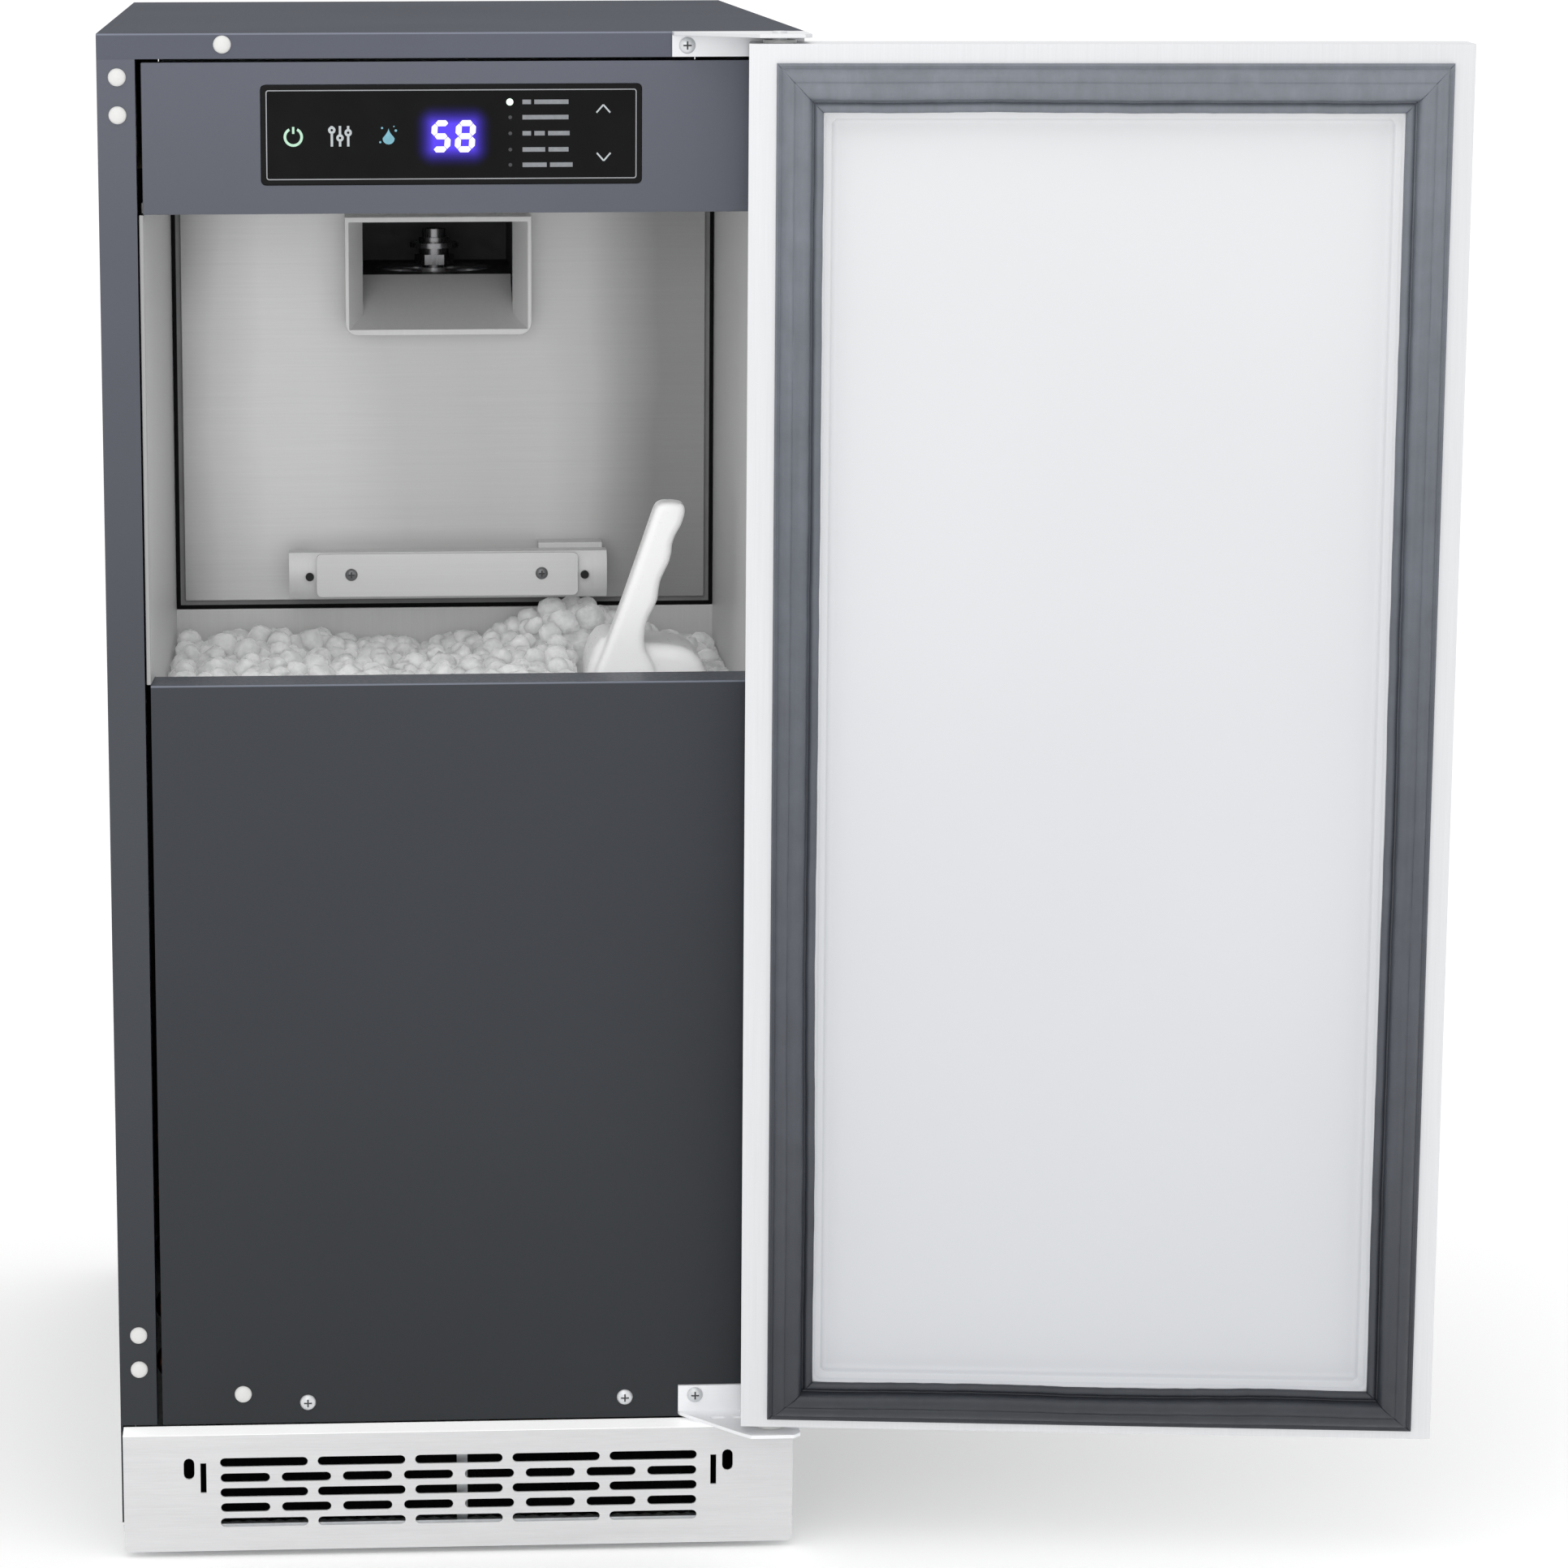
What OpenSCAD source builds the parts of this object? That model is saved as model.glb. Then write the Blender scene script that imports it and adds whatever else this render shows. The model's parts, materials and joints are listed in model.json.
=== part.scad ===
// Undercounter nugget ice maker with its door swung open.
// Origin: on the floor, under the centre of the cabinet. Front faces -Y, +Z is up.
// Depths in this file are measured back from the cabinet's front plane; box() and its
// relatives turn them into Y. All lengths are millimetres.

/* [Cabinet] */
// Outer width of the cabinet
body_w = 380; // [378:1:384]
// Depth of the cabinet without the door
body_d = 530; // [526:1:536]
// Height from the floor to the top cover
body_h = 850; // [848:1:856]
// Thickness of the folded steel sheets
sheet_t = 1.2; // [1:0.1:1.4]
// Visible width of the folded front edge of each side panel
jamb_w = 20.5; // [20:0.5:20.5]
// Height of the folded edge of the top cover
cover_drop = 13.6; // [13:0.2:14]
// Height of the underside of the base pan
pan_z = 15; // [15:0.5:16]

/* [Front panels] */
// Half the width of the fascia and of the lower front panel
front_half_w = 166.3; // [165.6:0.1:166.4]
// Height of the bottom edge of the lower front panel
lower_panel_z = 72.3; // [72:0.1:73]
// Height of the bin ledge, the top of the lower front panel
ledge_z = 495.5; // [490:0.5:497]
// How far the ledge reaches back
ledge_d = 28.6; // [27:0.2:28.8]
// Height of the lower edge of the control fascia
fascia_z = 753.2; // [753:0.1:753.6]
// Height of the upper edge of the control fascia
fascia_top = 834.5; // [834:0.1:835]

/* [Kick plate] */
// How far the kick plate stands in front of the cabinet
kick_out = 16; // [16:0.5:17]
// Height of the lower edge of the kick plate
kick_z0 = 3.2; // [3:0.1:4]
// Height of the upper edge of the kick plate
kick_z1 = 71.4; // [71:0.1:71.8]
// Height of each slot
slot_h = 5.2; // [5:0.1:5.6]

/* [Door] */
// Thickness of the door
door_t = 36; // [35:0.5:37]
// Space between the closed door and the front plane
door_gap = 9.4; // [9.2:0.1:9.8]
// Height of the lower edge of the door
door_z0 = 81; // [81:0.5:82]
// Height of the upper edge of the door
door_z1 = 845; // [844:0.5:845]
// Angle at which the door stands open
door_open = 173.93; // [90:0.01:174]
// Distance of the hinge pins from the right side of the cabinet
pin_inset = 16; // [15.5:0.1:16]
// Radius of the hinge pins
pin_r = 4; // [3.5:0.1:4]

/* [Ice bin] */
// Depth at which the ice compartment ends
cavity_d = 173; // [172:0.5:174]
// Half the inner width of the compartment at its back
cavity_back_half = 157; // [156:0.5:157]
// Height of the floor of the bin
bin_floor_z = 330; // [328:1:340]
// Thickness of the liner
liner_t = 2.5; // [2:0.1:2.5]

/* [Ice machine] */
// Sideways place of the auger's axis and of the chute
auger_x = -3.5; // [-4:0.5:0]
// Depth of the auger's axis
auger_d = 250; // [248:1:252]
// Radius of the auger's flight
flight_r = 29.5; // [29:0.1:29.5]
// Radius of the auger's journals
journal_r = 7; // [6.5:0.1:7]
// Teeth of the drive gear, three times the teeth of the pinion
gear_teeth = 54; // [54]
// Teeth of the pinion
pinion_teeth = 18; // [18]
// Module of both gears, pitch diameter over teeth
gear_module = 1.25; // [1.2:0.01:1.25]

/* [Fan] */
// Radius of the fan blades
fan_r = 74; // [70:1:75]
// Number of fan blades
fan_blades = 5; // [4:1:6]

/* [Hidden] */
$fn = 48;

// Finishes
body_grey = [0.38, 0.39, 0.42];
steel = [0.72, 0.72, 0.72];
bright = [0.82, 0.83, 0.84];
white = [0.92, 0.92, 0.93];
gasket_grey = [0.36, 0.38, 0.41];
black = [0.05, 0.05, 0.06];
foam = [0.93, 0.88, 0.72];
copper = [0.75, 0.45, 0.3];
pcb_green = [0.1, 0.35, 0.2];

// Cabinet limits
half_w = body_w / 2;
inner_half = half_w - sheet_t;
cover_z = body_h - cover_drop;
back_d = body_d - sheet_t;
jamb_x = half_w - jamb_w;
back_flange = 15;

// Plugs and screws, as [x, z] on the front
plug_r = 4.8;
plug_stem_r = 2.4;
plug_hole_r = 2.5;
jamb_plug_x = 179.1;
jamb_plug_z = [105, 125, 806.6, 826.8];
cover_plug = [-122.7, 844];
panel_plug = [-120.9, 89.5];
panel_screws = [[-84.5, 84.1], [94.5, 84.1]];
top_hinge_screw = [126.8, 842.6];
lower_hinge_screw = [134.1, 85.5];
screw_hole_r = 2.2;

// Display window
window_z = 795.5;
window_half_w = 102.5;
window_half_h = 26.8;

// Compartment limits
liner_front = 1.3;
liner_d = 182.5;
shelf_z = 509.5;
ceiling_z = 756;
rim_half = 146;
rim_z0 = 520;
rim_z1 = 748;
bin_front = ledge_d + 3.1;

// Cover panel in the compartment
cover_panel_half = 151.75;
cover_panel_z0 = 514.8;
cover_panel_z1 = 753;
cover_panel_d = 171.5;
chute_half = 53.6;
chute_z0 = 671.5;
chute_z1 = 739.5;

// Door, closed, as depths and widths
door_front = -door_gap - door_t;
pivot_x = half_w - pin_inset;
pivot_d = -27.4;
seal_hinge_x = half_w - 14.7;
seal_free_x = -half_w + 10.7;
seal_z0 = door_z0 + 4.7;
seal_z1 = door_z1 - 10.2;
seal_w = 25;

// Levelling feet
foot_x = 155;
foot_depths = [40, 490];
foot_stem_r = 5;
foot_bore_r = 5.05;

// Machine positions
barrel_z0 = 556;
barrel_z1 = 700;
barrel_r = 36;
barrel_bore = flight_r + 1;
pinion_d = auger_d + gear_module * (gear_teeth + pinion_teeth) / 2;
gear_z = 502;
fan_x = -70;
fan_z = 140;
comp_x = 95;
comp_d = 400;

// Depth to Y
function fy(d) = d - body_d / 2;
// Points along an arc, centre c, radius r, from angle a0 to a1
function arc(c, r, a0, a1, n = 6) =
    [for (i = [0 : n]) let (a = a0 + (a1 - a0) * i / n) c + r * [cos(a), sin(a)]];
// Rectangle with round corners
function rounded(x0, x1, y0, y1, r, n = 5) = concat(
    arc([x1 - r, y1 - r], r, 0, 90, n), arc([x0 + r, y1 - r], r, 90, 180, n),
    arc([x0 + r, y0 + r], r, 180, 270, n), arc([x1 - r, y0 + r], r, 270, 360, n));
// Slot with round ends, w wide and h high, about c
function obround(c, w, h, n = 8) = w >= h
    ? concat(arc(c + [(w - h) / 2, 0], h / 2, -90, 90, n),
             arc(c - [(w - h) / 2, 0], h / 2, 90, 270, n))
    : concat(arc(c + [0, (h - w) / 2], w / 2, 0, 180, n),
             arc(c - [0, (h - w) / 2], w / 2, 180, 360, n));

// Box given by its limits in x, depth and z
module box(x0, x1, d0, d1, z0, z1) {
    translate([x0, fy(d0), z0]) cube([x1 - x0, d1 - d0, z1 - z0]);
}
// Round bars along x, along the depth and along z
module bar_x(d, z, r, x0, x1) {
    translate([x0, fy(d), z]) rotate([0, 90, 0]) cylinder(r = r, h = x1 - x0);
}
module bar_y(x, z, r, d0, d1) {
    translate([x, fy(d0), z]) rotate([-90, 0, 0]) cylinder(r = r, h = d1 - d0);
}
module bar_z(x, d, r, z0, z1) {
    translate([x, fy(d), z0]) cylinder(r = r, h = z1 - z0);
}
// Outlines extruded: [x, z] along the depth, [x, depth] along z, [depth, z] along x
module plate_y(outline, d0, d1) {
    translate([0, fy(d1), 0]) rotate([90, 0, 0]) linear_extrude(height = d1 - d0)
        polygon(outline);
}
module plate_z(outline, z0, z1) {
    translate([0, fy(0), z0]) linear_extrude(height = z1 - z0) polygon(outline);
}
module plate_x(outline, x0, x1) {
    translate([x0, fy(0), 0]) rotate([90, 0, 90]) linear_extrude(height = x1 - x0)
        polygon(outline);
}
// Rectangular ring on the front, t wide, between two depths
module frame_y(x0, x1, z0, z1, t, d0, d1) {
    difference() {
        box(x0, x1, d0, d1, z0, z1);
        box(x0 + t, x1 - t, d0 - 1, d1 + 1, z0 + t, z1 - t);
    }
}
// Copies on both sides
module both_sides() {
    children();
    mirror([1, 0, 0]) children();
}
// Turns a door part from closed to where the door stands
module door_pose() {
    translate([pivot_x, fy(pivot_d), 0]) rotate([0, 0, door_open])
        translate([-pivot_x, -fy(pivot_d), 0]) children();
}
// Domed head on the front plane at [x, z], standing out of depth d
module dome(p, r, h, d) {
    profile = concat([[0, 0]], [for (a = [0 : 15 : 90]) [r * cos(a), h * sin(a)]]);
    translate([p[0], fy(d), p[1]]) rotate([90, 0, 0]) rotate_extrude() polygon(profile);
}

// Tube swept along a route of [x, depth, z] points, with its corners rounded
function unit(v) = v / norm(v);
function bend(a, b, c, r, n = 5) =
    let (u = unit(a - b), w = unit(c - b), s = b + u * r, e = b + w * r)
    [for (i = [0 : n]) let (t = i / n) (1 - t) * (1 - t) * s + 2 * t * (1 - t) * b + t * t * e];
function smooth(p, r) = concat([p[0]],
    [for (i = [1 : len(p) - 2]) each bend(p[i - 1], p[i], p[i + 1], r)], [p[len(p) - 1]]);
function tangent(p, i) = unit(p[min(i + 1, len(p) - 1)] - p[max(i - 1, 0)]);
function carry(p, i) = i == 0
    ? unit(cross(tangent(p, 0), [0.31, 0.57, 0.76]))
    : let (v = carry(p, i - 1), t = tangent(p, i)) unit(v - t * (v * t));
module tube(route, r, corner = 15, sides = 8) {
    p = smooth(route, corner);
    n = len(p);
    rings = [for (i = [0 : n - 1]) let (a = carry(p, i), b = cross(tangent(p, i), a))
        each [for (k = [0 : sides - 1]) let (w = 360 * k / sides)
            [p[i][0], fy(p[i][1]), p[i][2]] + r * (a * cos(w) + b * sin(w))]];
    faces = concat([[for (k = [0 : sides - 1]) k]],
        [for (i = [0 : n - 2], k = [0 : sides - 1]) let (q = (k + 1) % sides)
            [i * sides + k, (i + 1) * sides + k, (i + 1) * sides + q, i * sides + q]],
        [[for (k = [sides - 1 : -1 : 0]) (n - 1) * sides + k]]);
    polyhedron(rings, faces, convexity = 6);
}

// Involute spur gear outline: z teeth of module m, one tooth centred on +X
pressure = 20;
backlash = 0.18;
function involute(rb, r) = let (t = sqrt(max(0, r * r / (rb * rb) - 1)))
    t * 180 / PI - atan(t);
function tooth_half_angle(z, m, r) = let (rp = m * z / 2, rb = rp * cos(pressure))
    90 / z - backlash / (2 * rp) * 180 / PI + involute(rb, rp) - involute(rb, max(r, rb));
function gear_outline(z, m) = let (rp = m * z / 2, rb = rp * cos(pressure),
        r0 = rp - 1.25 * m, r1 = rp + m, start = max(rb, r0), n = 4)
    [for (k = [0 : z - 1]) let (c = 360 * k / z) each concat(
        [r0 * [cos(c - tooth_half_angle(z, m, start)), sin(c - tooth_half_angle(z, m, start))]],
        [for (i = [0 : n]) let (r = start + (r1 - start) * i / n, a = c - tooth_half_angle(z, m, r))
            if (i > 0 || start > r0) r * [cos(a), sin(a)]],
        [for (i = [n : -1 : 0]) let (r = start + (r1 - start) * i / n, a = c + tooth_half_angle(z, m, r))
            if (i > 0 || start > r0) r * [cos(a), sin(a)]],
        [r0 * [cos(c + tooth_half_angle(z, m, start)), sin(c + tooth_half_angle(z, m, start))]])];

// ---------------------------------------------------------------- cabinet shell

module side_panel() {
    difference() {
        union() {
            box(-half_w, -inner_half, 0, body_d, pan_z, cover_z);
            box(-half_w, -jamb_x, 0, sheet_t, lower_panel_z, cover_z);
            box(-jamb_x - sheet_t, -jamb_x, 0, 15, lower_panel_z, cover_z);
            box(-half_w, -half_w + back_flange, back_d, body_d, pan_z, cover_z);
        }
        for (z = jamb_plug_z) bar_y(-jamb_plug_x, z, plug_hole_r, -1, 5);
    }
}
module left_side_panel() {
    color(body_grey) side_panel();
}
module right_side_panel() {
    color(body_grey) mirror([1, 0, 0]) side_panel();
}
module top_cover() {
    color(body_grey) difference() {
        box(-half_w, half_w, 0, body_d, cover_z, body_h);
        box(-inner_half, inner_half, sheet_t, back_d, cover_z - 1, body_h - sheet_t);
        bar_y(cover_plug[0], cover_plug[1], plug_hole_r, -1, 5);
        bar_y(top_hinge_screw[0], top_hinge_screw[1], screw_hole_r, -1, 5);
    }
}
module back_panel() {
    half = half_w - back_flange - 0.5;
    color(body_grey) difference() {
        box(-half, half, back_d, body_d, pan_z, cover_z);
        for (x = [-80, 80], i = [0 : 8])
            plate_y(obround([x, 200 + 14 * i], 110, 6), back_d - 1, body_d + 1);
        for (i = [0 : 5])
            plate_y(obround([0, 690 + 14 * i], 180, 6), back_d - 1, body_d + 1);
        bar_y(drain_x, 620, 17, back_d - 1, body_d + 1);
        bar_y(drain_x, 70, 10, back_d - 1, body_d + 1);
        box(112, 148, back_d - 1, body_d + 1, 97, 123);
    }
}
module base_pan() {
    color(steel) difference() {
        union() {
            box(-inner_half + 0.2, inner_half - 0.2, -kick_out + sheet_t, 526, pan_z,
                pan_z + sheet_t);
            box(-inner_half + 0.2, inner_half - 0.2, -kick_out + sheet_t,
                -kick_out + 2 * sheet_t, pan_z, pan_z + 3.6);
            box(-1, 5, -9, -7.8, pan_z, 69);
            for (x = [-foot_x, foot_x], d = foot_depths) bar_z(x, d, 10, pan_z, 24);
        }
        for (x = [-foot_x, foot_x], d = foot_depths) bar_z(x, d, foot_bore_r, 0, 30);
    }
}
module kick_plate() {
    half = half_w - 1.7;
    corner_r = 3.7;
    long_rows = [19.8, 37.4, 55.1];
    short_rows = [28.6, 46.1];
    color(bright) difference() {
        union() {
            plate_y(concat(arc([corner_r - half, kick_z0 + corner_r], corner_r, 180, 270, 5),
                arc([half - corner_r, kick_z0 + corner_r], corner_r, 270, 360, 5),
                [[half, kick_z1], [-half, kick_z1]]), -kick_out, -kick_out + sheet_t);
            box(-half, half, -kick_out, -0.2, kick_z1 - sheet_t, kick_z1);
        }
        for (z = long_rows, i = [-2 : 2])
            plate_y(obround([54.75 * i, z], 49.3, slot_h, 6), -kick_out - 1, -kick_out + 3);
        for (z = short_rows, i = [-3.5 : 3.5])
            plate_y(obround([34.3 * i, z], 27.75, slot_h, 6), -kick_out - 1, -kick_out + 3);
        for (s = [-1, 1]) {
            plate_y(obround([151.5 * s, 51.7], 6, 12.3, 6), -kick_out - 1, -kick_out + 3);
            box(143.5 * s - 1.65, 143.5 * s + 1.65, -kick_out - 1, -kick_out + 3, 37.5, 54.9);
        }
    }
}
module control_fascia() {
    color(body_grey) difference() {
        union() {
            box(-front_half_w, front_half_w, 0, sheet_t, fascia_z, fascia_top);
            box(-front_half_w, front_half_w, 0, 15, fascia_z, fascia_z + sheet_t);
            box(-front_half_w, front_half_w, 0, 15, fascia_top - sheet_t, fascia_top);
        }
        plate_y(rounded(-window_half_w - 0.1, window_half_w + 0.1, window_z - window_half_h - 0.1,
            window_z + window_half_h + 0.1, 2.6, 3), -1, 3);
    }
}
module lower_front_panel() {
    h = front_half_w;
    color(body_grey) difference() {
        union() {
            box(-h, h, 0, sheet_t, lower_panel_z, ledge_z);
            box(-h, h, 0, ledge_d, ledge_z - sheet_t, ledge_z);
            box(-h, h, ledge_d - sheet_t, ledge_d, ledge_z - 10.5, ledge_z);
            both_sides() box(-h, -h + sheet_t, 0, 12, lower_panel_z, ledge_z);
            box(-h, h, 0, 12, lower_panel_z, lower_panel_z + sheet_t);
        }
        bar_y(panel_plug[0], panel_plug[1], plug_hole_r, -1, 5);
        for (p = panel_screws) bar_y(p[0], p[1], screw_hole_r, -1, 5);
        bar_y(lower_hinge_screw[0], lower_hinge_screw[1], screw_hole_r, -1, 5);
    }
}

// ---------------------------------------------------------------- ice compartment

// Inner half width of the compartment at a depth
function cavity_half(d) = d >= cavity_d ? cavity_back_half
    : front_half_w - 0.1 + (cavity_back_half - front_half_w + 0.1) * d / cavity_d;
// Plan of one liner wall from a depth back to the rim, and of the whole compartment
function wall_plan(d0) = [[cavity_half(d0), d0], [cavity_back_half, cavity_d],
    [cavity_back_half, liner_d], [cavity_back_half + liner_t, liner_d],
    [cavity_back_half + liner_t, cavity_d], [cavity_half(d0) + liner_t, d0]];
function room_plan(d0, d1, grow) = [[-cavity_half(d0) - grow, d0], [cavity_half(d0) + grow, d0],
    [cavity_half(d1) + grow, d1], [-cavity_half(d1) - grow, d1]];
drain_x = -120;
drain_d = 150;
module bin_liner() {
    color(steel) difference() {
        union() {
            both_sides() {
                plate_z(wall_plan(liner_front), ledge_z + 0.3, fascia_z - 0.3);
                plate_z(wall_plan(bin_front - liner_t), bin_floor_z - liner_t, ledge_z + 0.3);
                plate_z(wall_plan(15.5), fascia_z - 0.3, ceiling_z + liner_t);
            }
            plate_z(room_plan(bin_front - liner_t, cavity_d, 1), bin_floor_z - liner_t, bin_floor_z);
            plate_z(room_plan(15.5, cavity_d, 1), ceiling_z, ceiling_z + liner_t);
            box(-cavity_back_half - 1, cavity_back_half + 1, cavity_d, liner_d, ceiling_z,
                ceiling_z + liner_t);
            plate_z(room_plan(bin_front - liner_t, bin_front, 1), bin_floor_z - 1, ledge_z - 1.5);
            box(-cavity_back_half - 1, cavity_back_half + 1, cavity_d, cavity_d + liner_t,
                bin_floor_z - liner_t, shelf_z);
            box(-cavity_back_half - 1, cavity_back_half + 1, cavity_d, liner_d, shelf_z - liner_t,
                shelf_z);
            box(-cavity_back_half - 1, cavity_back_half + 1, liner_d - liner_t, liner_d,
                shelf_z - liner_t, ceiling_z + 1);
        }
        box(-rim_half, rim_half, liner_d - 10, liner_d + 5, rim_z0, rim_z1);
        bar_z(drain_x, drain_d, 8, bin_floor_z - 5, bin_floor_z + 5);
    }
}
module bin_insulation() {
    side = inner_half - 0.3;
    wall = cavity_back_half + liner_t + 0.3;
    color(foam) {
        both_sides() plate_z([[cavity_half(29) + liner_t + 0.3, 29], [wall, cavity_d], [wall, 203],
            [side, 203], [side, 29]], 302, ceiling_z + 20);
        difference() {
            union() {
                plate_z([[-wall + 0.1, 29], [wall - 0.1, 29], [wall - 0.1, 203], [-wall + 0.1, 203]],
                    302, bin_floor_z - liner_t - 0.2);
                box(-cavity_back_half + 0.2, cavity_back_half - 0.2, cavity_d + liner_t + 0.2, 203,
                    302, 480);
            }
            bar_z(drain_x, drain_d, 9, 290, 340);
        }
        box(-164.8, 164.8, sheet_t + 0.1, ledge_d - sheet_t - 0.2, 302, ledge_z - sheet_t - 0.2);
        box(-wall + 0.1, wall - 0.1, 29, liner_d, ceiling_z + liner_t + 0.2, ceiling_z + 20);
    }
}
module machine_cover_panel() {
    color(steel) difference() {
        box(-cover_panel_half, cover_panel_half, cover_panel_d, cover_panel_d + 1.5,
            cover_panel_z0, cover_panel_z1);
        box(auger_x - 44, auger_x + 44, cover_panel_d - 1, cover_panel_d + 5, 678, 737);
    }
}
module panel_seal() {
    color(black) frame_y(-cavity_back_half + 0.2, cavity_back_half - 0.2, shelf_z + 0.2,
        ceiling_z - 0.2, 10.5, cavity_d, liner_d - liner_t);
}
// Hood with flared cheeks and a sloping floor that hands the ice into the bin
module ice_chute() {
    mouth_d = 151;
    throat = 43.3;
    x0 = auger_x - chute_half;
    x1 = auger_x + chute_half;
    color(steel) {
        difference() {
            plate_y(concat(arc([x0 + 7, chute_z0 + 7], 7, 180, 270, 5),
                arc([x1 - 7, chute_z0 + 7], 7, 270, 360, 5), [[x1, chute_z1], [x0, chute_z1]]),
                mouth_d, cover_panel_d);
            plate_z([[x0 + 1.5, mouth_d - 1], [x1 - 1.5, mouth_d - 1], [auger_x + throat, mouth_d + 12],
                [auger_x + throat, cover_panel_d + 1], [auger_x - throat, cover_panel_d + 1],
                [auger_x - throat, mouth_d + 12]], chute_z0 + 3.5, chute_z1 - 3);
        }
        intersection() {
            plate_x([[mouth_d, chute_z0 + 3], [193, 703], [193, 700], [176, 689],
                [cover_panel_d, 686], [cover_panel_d, chute_z0 + 3]], x0, x1);
            plate_z([[x0 + 1.5, mouth_d], [x1 - 1.5, mouth_d], [auger_x + throat, mouth_d + 12],
                [auger_x + throat, 200], [auger_x - throat, 200], [auger_x - throat, mouth_d + 12]],
                chute_z0, 720);
        }
    }
}
// Covered trough between the evaporator's outlet and the chute
module chute_duct() {
    color(black) difference() {
        box(auger_x - 47, auger_x + 47, 193.2, 302, barrel_z1, 747);
        box(auger_x - 45, auger_x + 45, 190, 300, barrel_z1 + 2, 745);
        bar_z(auger_x, auger_d, 34, barrel_z1 - 1, barrel_z1 + 5);
    }
}
// Bar across the cover panel that watches how full the bin is
module sensor_bar_housing() {
    color(steel) difference() {
        union() {
            plate_x([[157, 519.5], [157, 546.5], [145.5, 546.5], [142.5, 541], [142, 533],
                [142.5, 525], [145.5, 519.5]], -91, 93);
            box(-80, 54, 157, cover_panel_d, 522, 544);
            box(54, 91, 157, cover_panel_d, 522, 549.5);
        }
        box(-77, 88, 146, cover_panel_d + 1, 524.5, 541.5);
        for (x = [-55, 55]) bar_y(x, 534.3, screw_hole_r, 130, 150);
    }
}
module sensor_bar_cover() {
    color(bright) difference() {
        plate_y(rounded(-75, 76, 521.4, 546.3, 3, 4), 139.2, 142);
        for (x = [-55, 55]) bar_y(x, 534.3, screw_hole_r, 130, 150);
    }
}
module sensor_eyes() {
    color(black) for (x = [-79, 80]) bar_y(x, 533, 2.4, 140.2, 142);
}
module ice_heap() {
    surface = [[bin_front + 0.5, bin_floor_z + 0.2], [bin_front + 0.5, 480], [60, 486], [95, 492],
        [135, 500], [cavity_d - 1, 506], [cavity_d - 1, bin_floor_z + 0.2]];
    color([0.9, 0.93, 0.95]) difference() {
        intersection() {
            plate_x(surface, -170, 170);
            plate_z(room_plan(bin_front + 0.5, cavity_d - 1, -0.5), bin_floor_z, 520);
        }
        box(76, 152, 44, 128, 440, 540);
    }
}

// Scoop plunged into the ice: a grip with finger hollows in front of a bowl whose
// closed end is up and whose mouth is down
module scoop() {
    grip = [[78, 470], [83, 489], [114.7, 584], [117, 586], [130.5, 585.6], [131.9, 583],
        [131.7, 579.6], [129.7, 573.2], [125.2, 565.9], [124, 560.3], [123.2, 553],
        [119.6, 546.5], [117.1, 539.2], [116.3, 531.5], [113.1, 525.5], [110.3, 518.2],
        [108.8, 509], [109.6, 500], [115, 492], [124, 484], [126, 470]];
    bowl = [[77, 444], [77, 489], [84, 508.5], [88, 508.8], [110, 504.5], [124, 503.2],
        [132, 502], [138.2, 499], [142.4, 494.4], [145, 488], [145.5, 444]];
    hollow = [[80, 440], [80, 488.5], [86, 505.2], [88, 505.4], [109.5, 501.3], [123.8, 500],
        [131.2, 498.9], [136.4, 496.4], [139.8, 492.6], [142, 487.5], [142.5, 440]];
    color(white) {
        plate_y(grip, 58, 72.5);
        difference() {
            plate_y(bowl, 72, 122);
            plate_y(hollow, 75, 119);
        }
    }
}

// ---------------------------------------------------------------- display and electronics

module display_bezel() {
    x = window_half_w;
    color(black) difference() {
        plate_y(rounded(-x, x, window_z - window_half_h, window_z + window_half_h, 2.5, 3), 0, 14);
        plate_y(rounded(-x + 2.6, x - 2.6, window_z - window_half_h + 2.6,
            window_z + window_half_h - 2.6, 1.5, 3), -1, 2.2);
        box(-96, 96, 2, 15, window_z - 20, window_z + 20);
    }
}
module display_glass() {
    x = window_half_w - 2.8;
    z = window_half_h - 2.8;
    color([0.08, 0.08, 0.09]) plate_y(rounded(-x, x, window_z - z, window_z + z, 1.3, 3), 0.4, 2.1);
}
module circuit_boards() {
    color(pcb_green) {
        box(-95, 95, 5, 6.6, window_z - 19, window_z + 19);
        box(-8, 22, 2.6, 5, window_z - 11, window_z + 11);
        box(160, 161.6, 260, 420, 420, 600);
        for (z = [430, 590], d = [270, 410]) bar_x(d, z, 3, 161.6, inner_half);
        box(130, 160, 280, 320, 440, 480);
        box(148, 160, 340, 400, 445, 470);
        for (i = [0 : 2]) bar_x(290 + 26 * i, 530, 9, 138, 160);
        for (i = [0 : 3]) box(145, 160, 275 + 34 * i, 295 + 34 * i, 560, 580);
    }
}
module power_inlet() {
    color(black) {
        difference() {
            union() {
                box(113, 147, 500, body_d, 98, 122);
                box(105, 155, body_d, body_d + 2, 94, 126);
            }
            box(118, 142, 512, body_d + 5, 102.5, 117.5);
        }
        for (x = [-7, 0, 7]) box(129 + x, 131 + x, 511, 522, x == 0 ? 110 : 106, x == 0 ? 115 : 111);
    }
}

// ---------------------------------------------------------------- plugs, screws, hinges

module hole_plugs() {
    spots = concat([for (s = [-1, 1], z = jamb_plug_z) [s * jamb_plug_x, z]],
        [cover_plug, panel_plug]);
    color(white) for (p = spots) {
        dome(p, plug_r, 2.5, 0);
        bar_y(p[0], p[1], plug_stem_r, 0, 4);
    }
}
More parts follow.
